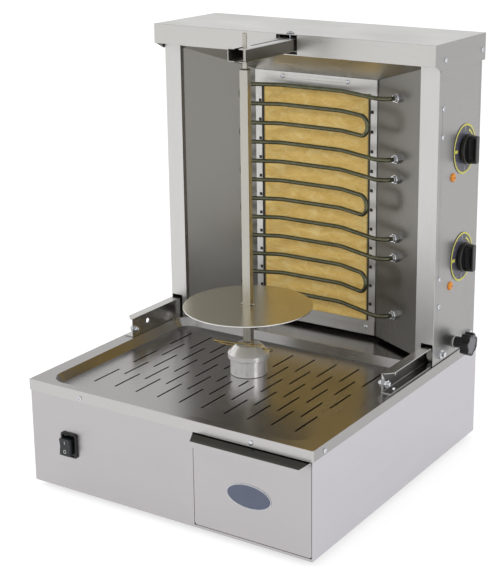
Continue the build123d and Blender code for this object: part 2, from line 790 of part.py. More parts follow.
def side_panel(side):
    """Tower side: outer panel, front pillar with its return, and a rear flange. The pillar clears the rail."""
    line = [(pillar_inner, tower_front + pillar_return), (pillar_inner, tower_front), (tower_half_width, tower_front),
            (tower_half_width, panel_back), (tower_half_width - rear_flange_width, panel_back)]
    part = folded(line, tower_sheet, tower_bottom, tower_top)
    rear_notch = tower_half_width - rear_flange_width - 1
    part = part - block(notch_inner, tower_inner, tower_front - 5, tower_front + 5, 0, notch_top)
    part = part - block(rear_notch, tower_inner, panel_back - 5, panel_back + 5, 0, notch_top)
    part = drilled(part, side_screws, (1, 0, 0))
    part = drilled(part, cover_side_screws, (1, 0, 0))
    part = drilled(part, back_screws, (0, 1, 0))
    for y in (roller_front_y, roller_back_y):
        part = part - rod_x(bolt_radius + 0.2, tower_inner - 5, tower_half_width + 5, y, roller_z)
    if side < 0:
        return mirror(part, about=Plane.YZ)
    part = part - rod_x(bolt_radius + 0.3, tower_inner - 5, tower_half_width + 5, clamp_y, clamp_z)
    for z in dial_heights:
        part = part - rod_x(regulator_shaft_radius + 1.5, tower_inner - 5, tower_half_width + 5, dial_y, z)
        part = part - rod_x(lamp_radius - 1.2, tower_inner - 5, tower_half_width + 5, lamp_y, z - lamp_offset)
    return part


def wall_direction():
    """Unit vector along a right splayed wall, from the pillar to the board."""
    return (Vector(*wall_end) - Vector(*wall_start)).normalized()


def terminal_point():
    """Plan place on the right splayed wall where the elements go through."""
    start = Vector(*wall_start)
    return start + (Vector(*wall_end) - start) * terminal_share


def wall_normal():
    """Unit vector square to the right splayed wall, into the cooking space."""
    along = wall_direction()
    return Vector(-along.Y, along.X)


def terminal_heights():
    """Heights of the two ends of each element."""
    return [z - drop for z in element_tops for drop in (0, (element_runs - 1) * run_spacing)]


def splay_wall(side):
    """Polished inner wall, splayed from the pillar to the board, with flanges at both ends."""
    line = [(wall_start[0], tower_front + tower_sheet + 0.8), wall_start, wall_end, (wall_end[0], board_back + 3)]
    part = folded(line[::-1], tower_sheet, wall_bottom, tower_top - wall_drop)
    if side < 0:
        return mirror(part, about=Plane.YZ)
    place = terminal_point()
    for z in terminal_heights():
        hole = Plane((place.X, place.Y, z), z_dir=wall_normal()).location * Cylinder(tube_radius + 0.4, 20)
        part = part - hole
    return part


def element(top):
    """One tubular heater: four runs bowed round the spit, joined by hairpin bends, both ends to the right."""
    place = terminal_point()
    normal = wall_normal()
    tail = place - normal * terminal_tail
    slope = math.tan(math.radians(bow_angle))
    end_y = bow_back - slope * (bow_end - bow_half_flat)
    gap = place.Y - bow_back + slope * (place.X - bow_half_flat)
    out = gap / (-normal.Y - slope * normal.X)
    corner = place + normal * out
    turn = run_spacing / 2 - 0.05
    hairpin = bow_end + turn * math.cos(math.radians(bow_angle))
    hairpin_y = end_y - turn * math.sin(math.radians(bow_angle))
    points = [(tail.X, tail.Y, top), (corner.X, corner.Y, top)]
    radii = [entry_radius]
    for run in range(element_runs):
        z = top - run * run_spacing
        side = 1 if run % 2 == 0 else -1
        points += [(side * bow_half_flat, bow_back, z), (-side * bow_half_flat, bow_back, z)]
        radii += [bow_radius, bow_radius]
        if run < element_runs - 1:
            points += [(-side * hairpin, hairpin_y, z), (-side * hairpin, hairpin_y, z - run_spacing)]
            radii += [turn, turn]
    z = top - (element_runs - 1) * run_spacing
    points += [(corner.X, corner.Y, z), (tail.X, tail.Y, z)]
    radii += [entry_radius]
    path = FilletPolyline(*points, radius=radii)
    return sweep(Plane(path @ 0, z_dir=path % 0) * Circle(tube_radius), path=path)


def terminal_nuts():
    """Six hexagonal glands that clamp the element ends in the right wall."""
    place = terminal_point()
    normal = wall_normal()
    blank = extrude(RegularPolygon(nut_across / 2, 6, major_radius=False), nut_height * 0.6)
    blank = blank + Pos(0, 0, nut_height * 0.8) * Cylinder(nut_across * 0.42, nut_height * 0.4)
    nut = (blank - Cylinder(tube_radius + 0.1, 60)).solid()
    nuts = []
    for z in terminal_heights():
        seat = Plane((place.X, place.Y, z), z_dir=normal)
        nuts.append(seat.location * nut)
    return Compound(nuts)


def heat_board():
    """Flat refractory board behind the elements."""
    return block(-board_half_width, board_half_width, board_front, board_back, board_bottom, board_top)


def board_strips():
    """Two upright angle strips over the board's edges, with a row of square notches."""
    outer = wall_end[0]
    strip = block(outer - strip_width, outer - 0.2, board_front - tower_sheet, board_front, wall_bottom, bracket_top)
    strip = strip + block(outer - tower_sheet - 0.2, outer - 0.2, board_front - tower_sheet, board_back + 2,
                          wall_bottom, bracket_top)
    for i in range(element_count * element_runs):
        z = element_tops[0] - i * run_spacing
        x = outer - strip_width + 0.5
        strip = strip - block(x, x + notch_size, board_front - 5, board_front + 1, z - notch_size / 2, z + notch_size / 2)
    return both_sides(strip)


def board_brackets():
    """Cross pieces over the board's top and bottom ends."""
    half = wall_end[0] - 0.3
    y1 = board_front - tower_sheet
    y0 = y1 - tower_sheet
    upper = block(-half, half, y0, y1, bracket_top - bracket_height, bracket_top)
    upper = drilled(upper, bracket_screws, (0, 1, 0))
    lower = block(-half, half, y0, y1, wall_bottom, board_bottom + 1)
    lower = drilled(lower, lower_screws, (0, 1, 0))
    return Compound([upper.solid(), lower.solid()])


def board_backing():
    """Sheet behind the board that closes its channel."""
    half = wall_end[0] - tower_sheet - 0.4
    return block(-half, half, board_back, board_back + tower_sheet, wall_bottom, bracket_top)


def top_reflector():
    """Sloped roof of the cooking space, between the splayed walls."""
    back = board_front - 2 * tower_sheet - 0.3
    front = tower_front + 2
    inset = 0.5
    outline = [(-(pillar_inner - inset), front), (pillar_inner - inset, front),
               (pillar_inner - inset - 1, wall_start[1]), (wall_end[0] - inset, back),
               (-(wall_end[0] - inset), back), (-(pillar_inner - inset - 1), wall_start[1])]
    rise = reflector_front_z - bracket_top
    run = back - front
    angle = math.degrees(math.atan2(rise, run))
    slab = Rot(-angle, 0, 0) * Box(2 * tower_half_width, 2 * run, tower_sheet)
    slab = Pos(0, (front + back) / 2, (reflector_front_z + bracket_top) / 2 + 1) * slab
    prism = Pos(0, 0, wall_bottom) * extrude(make_face(Polyline(*outline, close=True)), cover_top - wall_bottom)
    return slab & prism


def tower_back_panel():
    """Removable back of the tower with rows of vent slots, cut out over the rails."""
    half = tower_half_width - 1.5
    part = block(-half, half, panel_back, tower_back, tower_bottom + 2, tower_top - 3)
    for side in (-1, 1):
        corner_x = sorted((side * notch_inner, side * (half + 5)))
        part = part - block(*corner_x, panel_back - 5, tower_back + 5, 0, notch_top)
    vent_rows = 5
    vent_columns = 6
    for row in range(vent_rows):
        z = cover_top - 166 + row * 22
        for column in range(vent_columns):
            x = -165 + column * 58
            part = part - block(x, x + 40, panel_back - 5, tower_back + 5, z, z + 6)
    return drilled(part, back_screws, (0, 1, 0))


def top_cover():
    """Top sheet with turned-down lips: short in front, deeper at the sides with cut corners, slotted for the arm."""
    back = tower_back + tower_sheet + 0.3
    low = cover_top - cover_side_lip
    outer = block(-cover_half_width, cover_half_width, cover_front, back, low, cover_top)
    inner = block(-cover_half_width + tower_sheet, cover_half_width - tower_sheet, cover_front + tower_sheet,
                  back - tower_sheet, low - 5, cover_top - tower_sheet)
    part = outer - inner
    front_low = cover_top - cover_front_lip
    cut = [(cover_front - 5, low - 5), (cover_front - 5, front_low), (cover_front + tower_sheet + 1, front_low),
           (cover_front + cover_cut_depth, low), (cover_front + cover_cut_depth, low - 5)]
    wedge = extrude(Plane.YZ * make_face(Polyline(*cut, close=True)), cover_half_width + 5, both=True)
    part = part - wedge
    part = part - block(-cover_half_width + 20, cover_half_width - 20, back - 5, back + 5, low - 5, cover_top - 15)
    part = part - block(-cover_slot_half, cover_slot_half, cover_front - 5, cover_front + tower_sheet + 0.5,
                        front_low - 5, cover_top - tower_sheet)
    part = part - rod_z(pin_radius + 0.4, 0, pin_y, cover_top - 10, cover_top + 10)
    part = drilled(part, cover_side_screws, (1, 0, 0))
    return drilled(part, [(-x, y, z) for x, y, z in cover_side_screws], (1, 0, 0))


def tower_screws():
    """Equal screws of the tower: side panels, cover lips, board cross pieces and back."""
    right = side_screws + cover_side_screws
    left = [(-x, y, z) for x, y, z in right]
    groups = screws(right, (1, 0, 0)).solids() + screws(left, (-1, 0, 0)).solids()
    groups = groups + screws(bracket_screws + lower_screws, (0, -1, 0)).solids()
    return Compound(groups + screws(back_screws, (0, 1, 0)).solids())


def arm_guide():
    """Channel under the cover in which the arm slides."""
    half = arm_half_width + seat_gap
    bottom = arm_bottom - seat_gap
    top = cover_top - tower_sheet
    front = cover_front + 6
    back = tower_back - 12
    line = [(-half - 12, top), (-half, top), (-half, bottom), (half, bottom), (half, top), (half + 12, top)]
    outline = line + offset_side(line, -tower_sheet)[::-1]
    flanged = extrude(Plane.XZ * make_face(Polyline(*outline, close=True)), back - front)
    part = Pos(0, back, 0) * flanged
    limit = block(-half - 12, half + 12, front, back, 0, top)
    return part & limit


def arm():
    """Sliding arm: a flat tube with an upper slit for the pin and an open notch that holds the spit's tip."""
    part = block(-arm_half_width, arm_half_width, arm_front, arm_back, arm_bottom, arm_top)
    part = fillet(part.edges().filter_by(Axis.Y), 1.5)
    part = part - block(-arm_half_width + arm_sheet, arm_half_width - arm_sheet, arm_front - 5, arm_back + 5,
                        arm_bottom + arm_sheet, arm_top - arm_sheet)
    gap = tip_radius + seat_gap
    part = part - block(-gap, gap, arm_front - 5, spit_y, arm_bottom - 5, arm_top + 5)
    part = part - rod_z(gap, *spit, arm_bottom - 5, arm_top + 5)
    slit = pin_radius + seat_gap
    return part - block(-slit, slit, arm_slit_front, arm_back - 8, arm_top - 5, arm_top + 5)


def ring_pin():
    """Locking pin through the cover into the arm's slit, with a flat pull ring."""
    seat = cover_top + ring_wire + 0.1
    part = rod_z(pin_radius, 0, pin_y, pin_foot, seat + 2.4)
    part = part + Pos(0, pin_y, seat) * Torus(ring_radius, ring_wire)
    return part + rod_x(ring_wire * 0.9, -ring_radius, ring_radius, pin_y, seat)


def roller_bolt(y):
    """Axle bolt of a guide roller: inner head, axle, spacer and outer nut, seen from the right side."""
    part = rod_x(bolt_radius, rail_web + 0.5, tower_half_width + bolt_proud, y, roller_z)
    part = part + rod_x(bolt_radius + 3, rail_web + 0.5, roller_x - seat_gap, y, roller_z)
    part = part + rod_x(bolt_radius + 3, roller_end + seat_gap, tower_inner, y, roller_z)
    nut = hexagon_x(2 * bolt_nut_radius * 0.87, tower_half_width, tower_half_width + bolt_nut_height, y, roller_z)
    return part + nut


def roller_bolts():
    """Four roller axles, two on each side of the tower."""
    right = [roller_bolt(y).solid() for y in (roller_front_y, roller_back_y)]
    return Compound(right + [mirror(piece, about=Plane.YZ) for piece in right])


def guide_roller(side, y):
    """Nylon roller that runs inside a rail."""
    part = rod_x(roller_radius, roller_x, roller_end, y, roller_z)
    part = chamfer(part.edges(), 1.0)
    part = part - rod_x(bolt_radius + shaft_gap, roller_x - 5, roller_end + 5, y, roller_z)
    return part if side > 0 else mirror(part, about=Plane.YZ)


def clamp_nut():
    """Weld nut inside the right panel for the clamp screw."""
    nut = hexagon_x(13.0, tower_inner - 6.5, tower_inner, clamp_y, clamp_z)
    return nut - rod_x(bolt_radius + shaft_gap, tower_inner - 20, tower_half_width + 5, clamp_y, clamp_z)


def clamp_knob():
    """Star knob with neck, washer face and the clamp screw that presses on the rail."""
    part = rod_x(bolt_radius, rail_web + 0.4, clamp_head_x, clamp_y, clamp_z)
    part = part + rod_x(clamp_neck_radius * 0.8, clamp_washer_x, clamp_washer_x + 2, clamp_y, clamp_z)
    part = part + rod_x(clamp_neck_radius, clamp_washer_x + 2, clamp_head_x, clamp_y, clamp_z)
    core = clamp_head_radius * 0.82
    head = Cylinder(core, clamp_end_x - clamp_head_x)
    lobe_radius = clamp_head_radius * 0.26
    for i in range(clamp_lobes):
        angle = 2 * math.pi * i / clamp_lobes
        distance = clamp_head_radius - lobe_radius
        head = head + Pos(distance * math.cos(angle), distance * math.sin(angle), 0) * Cylinder(
            lobe_radius, clamp_end_x - clamp_head_x)
    blank = Cylinder(clamp_head_radius, clamp_end_x - clamp_head_x)
    head = head & chamfer(blank.edges().group_by(Axis.Z)[-1], 1.2)
    return part + Pos((clamp_head_x + clamp_end_x) / 2, clamp_y, clamp_z) * Rot(0, 90, 0) * head


def dial(z):
    """Round dial plate on the side panel."""
    part = rod_x(dial_radius, tower_half_width, tower_half_width + dial_sheet, dial_y, z)
    return part - rod_x(regulator_shaft_radius + 1.5, tower_half_width - 5, tower_half_width + 5, dial_y, z)


def regulator(z):
    """Energy regulator behind the panel."""
    half = regulator_size / 2
    part = block(tower_inner - regulator_depth, tower_inner, dial_y - half, dial_y + half, z - half, z + half)
    return part - rod_x(regulator_shaft_radius + 0.05, tower_inner - 12, tower_inner + 5, dial_y, z)


def regulator_shaft(z):
    """Turning shaft between a regulator and its knob."""
    end = tower_half_width + dial_sheet + 14
    return rod_x(regulator_shaft_radius, tower_inner - 11.5, end, dial_y, z)


def control_knob(z):
    """Black knob: a round skirt that narrows to a wide bar grip with a groove along it."""
    base = tower_half_width + dial_sheet + 0.5
    end = tower_half_width + knob_proud
    skirt = Pos(0, 0, knob_skirt / 2) * Cone(knob_radius, knob_radius * 0.95, knob_skirt)
    height = end - base
    crown = Pos(0, 0, height / 2) * Cone(knob_radius * 0.95, knob_radius * 0.86, height)
    keep = Pos(0, 0, height / 2) * Box(2 * knob_radius, knob_bar, height)
    bar = fillet((crown & keep).edges().filter_by(Axis.X, tolerance=12).group_by(Axis.Z)[-1], 2.5)
    knob = skirt + bar - Pos(0, 0, height) * Box(2 * knob_radius, 2.0, 2.0)
    knob = knob - Cylinder(regulator_shaft_radius + 0.05, 2 * 15.0)
    return Pos(base, dial_y, z) * Rot(0, 90, 0) * knob


def pilot_lamps():
    """Two round lamps under the dials: a rim on the panel, a lens and a body behind it."""
    lamps = []
    for z in dial_heights:
        height = z - lamp_offset
        x = tower_half_width
        part = rod_x(lamp_radius, x, x + 1.2, lamp_y, height)
        lens = rod_x(lamp_radius * 0.72, x, x + lamp_proud, lamp_y, height)
        lens = fillet(lens.edges().group_by(Axis.X)[-1], 1.5)
        body = rod_x(lamp_radius - 1.5, x - 24, x, lamp_y, height)
        lamps.append((part + lens + body).solid())
    return Compound(lamps)


def terminal_block():
    """Mains terminal block on a stand beside the motor."""
    left = -casing_inner + 32
    back = casing_back - 52
    part = block(left, left + 55, back - 26, back, casing_sheet, casing_sheet + 22)
    poles = 3
    for i in range(poles):
        x = left + 9 + i * 18.5
        part = part - rod_z(3.5, x, back - 13, casing_sheet + 12, casing_sheet + 30)
    return part


def cable_gland():
    """Screwed gland in the rear panel with an open bore for the cable."""
    back = casing_back
    part = rod_y(gland_radius - 1.7, gland_x, back - 12, back, gland_z)
    nut = rod_y(gland_radius + 1.5, gland_x, back - casing_sheet - 5, back - casing_sheet, gland_z)
    dome = Pos(gland_x, back + gland_reach / 2, gland_z) * Rot(-90, 0, 0) * Cone(
        gland_radius, gland_radius * 0.75, gland_reach)
    part = part + nut + dome
    return part - rod_y(gland_bore, gland_x, back - 30, back + 30, gland_z)


def assembly():
    """Every node of the grill with its name."""
    parts = {
        "tray_lid": tray_lid(),
        "casing": casing(),
        "bottom_plate": bottom_plate(),
        "rear_panel": rear_panel(),
        "feet": feet(),
        "lid_screws": lid_screws(),
        "drawer_runners": drawer_runners(),
        "bay_partition": bay_partition(),
        "grease_chute": grease_chute(),
        "gearmotor": gearmotor(),
        "motor_bracket": motor_bracket(),
        "shaft_bearing": shaft_bearing(),
        "switch_body": switch_body(),
        "switch_boot": switch_boot(),
        "terminal_block": terminal_block(),
        "cable_gland": cable_gland(),
        "rail_left": rail(-1),
        "rail_right": rail(1),
        "rail_fasteners": rail_fasteners(),
        "output_shaft": output_shaft(),
        "hub": hub(),
        "spit_bar": spit_bar(),
        "meat_disc": meat_disc(),
        "disc_pins": disc_pins(),
        "hub_clip": hub_clip(),
        "drawer_pan": drawer_pan(),
        "drawer_front": drawer_front(),
        "switch_rocker": switch_rocker(),
        "side_panel_left": side_panel(-1),
        "side_panel_right": side_panel(1),
        "splay_wall_left": splay_wall(-1),
        "splay_wall_right": splay_wall(1),
        "heat_board": heat_board(),
        "board_strips": board_strips(),
        "board_brackets": board_brackets(),
        "board_backing": board_backing(),
        "top_reflector": top_reflector(),
        "tower_back": tower_back_panel(),
        "top_cover": top_cover(),
        "tower_screws": tower_screws(),
        "rear_screws": screws(rear_screws, (0, 1, 0)),
        "terminal_nuts": terminal_nuts(),
        "pilot_lamps": pilot_lamps(),
        "roller_bolts": roller_bolts(),
        "clamp_nut": clamp_nut(),
        "clamp_knob": clamp_knob(),
        "arm_guide": arm_guide(),
        "arm": arm(),
        "ring_pin": ring_pin(),
        "dials": Compound([dial(z).solid() for z in dial_heights]),
        "regulators": Compound([regulator(z).solid() for z in dial_heights]),
    }
    for name, top in zip(("element_upper", "element_middle", "element_lower"), element_tops):
        parts[name] = element(top)
    for name, z in zip(("lower", "upper"), dial_heights):
        parts["knob_" + name] = Compound([control_knob(z).solid(), regulator_shaft(z).solid()])
    for name, side, y in (("front_right", 1, roller_front_y), ("back_right", 1, roller_back_y),
                          ("front_left", -1, roller_front_y), ("back_left", -1, roller_back_y)):
        parts["roller_" + name] = guide_roller(side, y)
    return parts


os.makedirs("parts", exist_ok=True)
for node, shape in assembly().items():
    placed = Pos(-middle_x, -middle_y, foot_height) * shape
    export_step(placed, "parts/" + node + ".step")
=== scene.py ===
# %% [markdown]
# A countertop vertical kebab grill, dressed for its picture. The machine is mostly thin stainless sheet that was
# cut, folded and screwed together, so most of this lesson is about giving flat CAD sheets what real sheet has:
# a small radius at each fold, a fine burr-free edge, and a brushed or a bright surface. The fixed CAD model is
# loaded first, and every later piece sits where that model says.

# %% Load the fixed model
import bmesh
import bpy
import json
import math
from mathutils import Matrix, Vector


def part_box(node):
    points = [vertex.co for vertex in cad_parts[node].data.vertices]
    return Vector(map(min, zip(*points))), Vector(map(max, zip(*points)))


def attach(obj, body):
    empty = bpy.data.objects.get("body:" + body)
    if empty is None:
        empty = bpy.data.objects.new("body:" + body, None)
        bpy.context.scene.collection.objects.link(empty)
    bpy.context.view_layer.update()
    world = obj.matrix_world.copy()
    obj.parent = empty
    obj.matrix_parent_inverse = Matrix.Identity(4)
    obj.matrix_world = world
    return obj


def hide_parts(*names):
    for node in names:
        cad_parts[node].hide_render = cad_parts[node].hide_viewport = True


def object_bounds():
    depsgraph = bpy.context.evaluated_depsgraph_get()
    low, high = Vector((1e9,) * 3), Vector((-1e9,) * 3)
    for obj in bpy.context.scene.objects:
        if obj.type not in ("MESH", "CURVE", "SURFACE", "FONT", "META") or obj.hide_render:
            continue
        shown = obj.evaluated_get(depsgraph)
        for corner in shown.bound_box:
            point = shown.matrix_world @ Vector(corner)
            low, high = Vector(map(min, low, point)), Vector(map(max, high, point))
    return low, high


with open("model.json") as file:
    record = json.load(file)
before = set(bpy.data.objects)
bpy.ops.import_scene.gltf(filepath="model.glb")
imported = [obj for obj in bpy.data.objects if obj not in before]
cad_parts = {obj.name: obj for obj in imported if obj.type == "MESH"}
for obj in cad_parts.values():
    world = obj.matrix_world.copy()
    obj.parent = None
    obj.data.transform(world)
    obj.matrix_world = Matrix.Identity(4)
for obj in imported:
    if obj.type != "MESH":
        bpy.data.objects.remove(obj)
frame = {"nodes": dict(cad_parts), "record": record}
cad_low, cad_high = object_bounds()
MM = 0.001
body_of = {name: body for body, names in frame["record"]["behaviour"]["bodies"].items() for name in names}
slot_of = {part["node"]: part["material_slot"] for part in frame["record"]["subparts"]}
print("the model is", [round(x / MM) for x in cad_high - cad_low], "mm and has", len(body_of), "pieces")

# %% [markdown]
# The camera stands to the right of the machine, a little above it. The picture's own frame is 493 by 577 pixels,
# and its optical axis isn't in the middle, as in a cropped product photo. Blender holds that as a lens shift. It
# was kept small, because the same shift stays on when the camera is moved round for other views.

# %% Camera
picture_width, picture_height = 493, 577
focal_pixels = 1376.7
centre_x, centre_y = 306.5, 228.5
camera_yaw, camera_pitch, camera_roll = 0.5482, 0.2695, -0.0011
camera_place = Vector((1062.2, -1626.2, 906.8)) * MM


def make_camera():
    data = bpy.data.cameras.new("product_camera")
    data.sensor_width = 36.0
    data.lens = focal_pixels / picture_height * data.sensor_width
    data.shift_x = (picture_width / 2 - centre_x) / picture_height
    data.shift_y = (centre_y - picture_height / 2) / picture_height
    camera = bpy.data.objects.new("product_camera", data)
    turn = Matrix.Rotation(camera_yaw, 4, "Z") @ Matrix.Rotation(math.pi / 2 - camera_pitch, 4, "X")
    camera.matrix_world = Matrix.Translation(camera_place) @ turn @ Matrix.Rotation(camera_roll, 4, "Z")
    bpy.context.scene.collection.objects.link(camera)
    bpy.context.scene.camera = camera
    return camera


camera = make_camera()
print("lens", round(camera.data.lens, 1), "mm, shift", round(camera.data.shift_x, 3), round(camera.data.shift_y, 3))

# %% [markdown]
# Every finish below is a small node tree. Helpers keep the trees short: one turns a colour written as an sRGB
# hex value into the linear numbers that Blender mixes light with, and one adds a node with its settings and links.

# %% Colour and node helpers
def hex_colour(code):
    """Linear RGBA of an sRGB hex colour."""
    parts = [int(code[i:i + 2], 16) / 255 for i in (0, 2, 4)]
    linear = [c / 12.92 if c <= 0.04045 else ((c + 0.055) / 1.055) ** 2.4 for c in parts]
    return (*linear, 1.0)


def feed(node, inputs):
    """Fills a node's inputs with numbers, colours, output sockets, or nodes for their first output."""
    for socket, value in inputs.items():
        if isinstance(value, bpy.types.Node):
            value = value.outputs[0]
        if isinstance(value, bpy.types.NodeSocket):
            node.id_data.links.new(value, node.inputs[socket])
        else:
            node.inputs[socket].default_value = value


def add_node(tree, kind, inputs=None, **settings):
    """Adds a shader node with its settings and fills its inputs."""
    node = tree.nodes.new("ShaderNode" + kind)
    for key, value in settings.items():
        setattr(node, key, value)
    feed(node, inputs or {})
    return node


def new_finish(name, metallic, roughness, ior=1.5):
    """Empty material with its shader and the piece's own coordinates in metres."""
    material = bpy.data.materials.new(name)
    material.use_nodes = True
    tree = material.node_tree
    shader = tree.nodes["Principled BSDF"]
    feed(shader, {"Metallic": metallic, "Roughness": roughness, "IOR": ior})
    place = add_node(tree, "TexCoord")
    return material, tree, shader, place.outputs["Object"]


print("white reads back as", hex_colour("ffffff")[:3])

# %% [markdown]
# Stainless sheet. Grade 304 sheet comes from the mill with a brushed face: an abrasive belt leaves scratches
# about 0.1 mm apart and many centimetres long, all one way. They spread highlights across the scratches. The
# scratches are noise stretched along the belt's direction; it moves the roughness and a very shallow bump. A
# second, slow noise is the unevenness of handling and rolling. At this picture's scale 0.1 mm is far below a
# pixel, so the pattern is drawn at 0.9 mm, which still reads as a fine grain.

# %% Brushed and bright steel
grain_spacing = 0.9 * MM
grain_length = 70 * MM
cloud_size = 90 * MM
noise_span = {"From Min": 0.3, "From Max": 0.7}


def steel_finish(name, colour, worn_colour, roughness, grain=0.06, relief=0.004, along="X", clouds=0.05):
    """Stainless sheet brushed along the given axes of the piece."""
    material, tree, shader, place = new_finish(name, 1.0, roughness)
    scale = [1 / grain_length if axis in along else 1 / grain_spacing for axis in "XYZ"]
    stretched = add_node(tree, "Mapping", {"Vector": place, "Scale": scale})
    scratches = add_node(tree, "TexNoise", {"Vector": stretched, "Scale": 1.0, "Detail": 3.0})
    slow = add_node(tree, "TexNoise", {"Vector": place, "Scale": 1 / cloud_size, "Detail": 4.0})
    fine = add_node(tree, "MapRange", {"Value": scratches, **noise_span, "To Min": roughness - grain,
                                       "To Max": roughness + grain})
    broad = add_node(tree, "MapRange", {"Value": slow, **noise_span, "To Min": -clouds, "To Max": clouds})
    total = add_node(tree, "Math", {0: fine, 1: broad}, operation="ADD")
    tint = add_node(tree, "Mix", {"Factor": slow, 6: hex_colour(colour), 7: hex_colour(worn_colour)},
                    data_type="RGBA")
    bump = add_node(tree, "Bump", {"Height": scratches, "Strength": 0.5, "Distance": relief * MM})
    feed(shader, {"Roughness": total, "Base Color": tint.outputs[2], "Normal": bump})
    return material


smooth_face = {"grain": 0.02, "relief": 0.002}
casing_steel = steel_finish("stainless_sheet_brushed_level", "bcb9ba", "c5c2c4", 0.36, along="XY")
tower_steel = steel_finish("stainless_sheet_brushed_upright", "cbcac8", "d3d2d0", 0.36, along="Z")
cover_steel = steel_finish("stainless_cover_brushed", "c5c4c1", "cccbc8", 0.34)
# Painted shade: the tray's sheet is painted darker than the casing, and its front lip is painted lighter further
# down.
tray_steel_painted_shade = steel_finish("stainless_tray_painted_shade", "a3a1a0", "afadac", 0.25, along="XY", clouds=0.03, **smooth_face)
# Painted shade and reflection: the tower's inner walls are painted dark, for the shaded surroundings they mirror.
wall_steel_painted_shade = steel_finish("stainless_wall_painted_reflection", "86847f", "8f8d88", 0.32, along="Z", **smooth_face)
strip_steel = steel_finish("galvanised_strip", "c8c7c4", "dcdbd8", 0.4, along="Z")
inner_steel = steel_finish("mill_finish_sheet", "8a8a88", "9c9c9a", 0.45)
bar_steel = steel_finish("cold_drawn_bar", "b1aea5", "c2bfb6", 0.3, along="Z")
disc_steel = steel_finish("satin_disc", "dfd9c6", "e4decc", 0.26, grain=0.01, relief=0.0004, along="XY", clouds=0.01)
reflector_steel = steel_finish("bright_reflector", "cecbc4", "d8d6d0", 0.3, **smooth_face)
rail_steel = steel_finish("bright_rolled_channel", "bab9b6", "c8c7c5", 0.24, grain=0.03, relief=0.002, along="Y")
# Painted shade: the sides of the tower and cover, brushed along the machine, are painted darker than their fronts.
side_steel_painted_shade = steel_finish("stainless_side_painted_shade", "a6a5a4", "aeadac", 0.36, along="Y")
# Painted light: the casing's side faces are painted lighter than its front.
casing_side_painted_light = steel_finish("stainless_casing_side_painted_light", "cac8cd", "d2d0d5", 0.36, along="Y")
# Painted shade: the arm's sides and inside are painted dark.
shaded_steel = steel_finish("arm_side_painted_shade", "6d6b63", "7b7970", 0.34, grain=0.03, along="Y")


lip_from, lip_to = 1.0 * MM, 3.0 * MM


def paint_lit_lip(material, edge, light):
    """Painted light and shade: the lid's front lip is painted in a lighter tone, while the tray behind it keeps its
    darker painted shade.
    """
    tree = material.node_tree
    shader = tree.nodes["Principled BSDF"]
    tray_tint = shader.inputs["Base Color"].links[0].from_socket
    place = add_node(tree, "TexCoord")
    depth = add_node(tree, "SeparateXYZ", {0: place.outputs["Object"]}).outputs["Y"]
    share = add_node(tree, "MapRange", {"Value": depth, "From Min": edge + lip_from, "From Max": edge + lip_to})
    tint = add_node(tree, "Mix", {"Factor": share, 6: hex_colour(light), 7: tray_tint}, data_type="RGBA")
    feed(shader, {"Base Color": tint.outputs[2]})


# Painted light: the lid's front lip gets the lighter tone.
paint_lit_lip(tray_steel_painted_shade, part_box("tray_lid")[0].y, "c4c2c1")
print("made", len(bpy.data.materials), "finishes so far")

# %% [markdown]
# The other metals and the moulded parts. Machined aluminium keeps fine rings from the lathe, here a wave across
# its height. The hub was anodised after turning, so its clear skin scatters part of the light and it looks pale
# beside the sheet: it is written as a little less metallic. Zinc plating is brighter and bluer than steel. A
# tubular heater's sheath starts as bright steel and goes olive grey in its first hot hour, so its colour varies
# slowly along it. Moulded black plastic has a fine spark-eroded texture that only shows in its highlights: about
# 0.3 mm in the real parts, drawn at 0.5 mm or more here.

# %% Plated, machined, heated and moulded finishes
ring_spacing = 0.5 * MM
handling_size = 25 * MM
handled_shade = 0.82


def plain_metal(name, colour, dark, roughness, speck_mm, relief=0.01):
    """Metal whose colour and roughness change a little in specks of one size."""
    material, tree, shader, place = new_finish(name, 1.0, roughness)
    specks = add_node(tree, "TexNoise", {"Vector": place, "Scale": 1 / (speck_mm * MM), "Detail": 5.0})
    tint = add_node(tree, "Mix", {"Factor": specks, 6: hex_colour(dark), 7: hex_colour(colour)}, data_type="RGBA")
    rough = add_node(tree, "MapRange", {"Value": specks, **noise_span, "To Min": roughness + 0.06,
                                        "To Max": roughness - 0.05})
    bump = add_node(tree, "Bump", {"Height": specks, "Strength": 0.4, "Distance": relief * MM})
    feed(shader, {"Base Color": tint.outputs[2], "Roughness": rough, "Normal": bump})
    return material


def moulded(name, colour, roughness, grain_mm, relief, ior=1.5):
    """Moulded plastic, rubber or paint with a fine surface grain."""
    material, tree, shader, place = new_finish(name, 0.0, roughness, ior)
    grain = add_node(tree, "TexNoise", {"Vector": place, "Scale": 1 / (grain_mm * MM), "Detail": 3.0})
    slow = add_node(tree, "TexNoise", {"Vector": place, "Scale": 1 / handling_size, "Detail": 2.0})
    light = hex_colour(colour)
    shade = tuple(c * handled_shade for c in light[:3]) + (1.0,)
    tint = add_node(tree, "Mix", {"Factor": slow, 6: shade, 7: light}, data_type="RGBA")
    bump = add_node(tree, "Bump", {"Height": grain, "Strength": 0.6, "Distance": relief * MM})
    feed(shader, {"Base Color": tint.outputs[2], "Normal": bump})
    return material


def turned_aluminium():
    """Lathe-turned and anodised aluminium, with fine rings up its height."""
    material, tree, shader, place = new_finish("turned_satin_aluminium", 0.72, 0.26)
    rings = add_node(tree, "TexWave", {"Vector": place, "Scale": 1 / (2 * math.pi * ring_spacing), "Distortion": 0.6,
                                      "Detail": 2.0}, bands_direction="Z")
    rough = add_node(tree, "MapRange", {"Value": rings, "To Min": 0.2, "To Max": 0.32})
    bump = add_node(tree, "Bump", {"Height": rings, "Strength": 0.2, "Distance": 0.004 * MM})
    feed(shader, {"Base Color": hex_colour("f6f5f3"), "Roughness": rough, "Normal": bump})
    return material


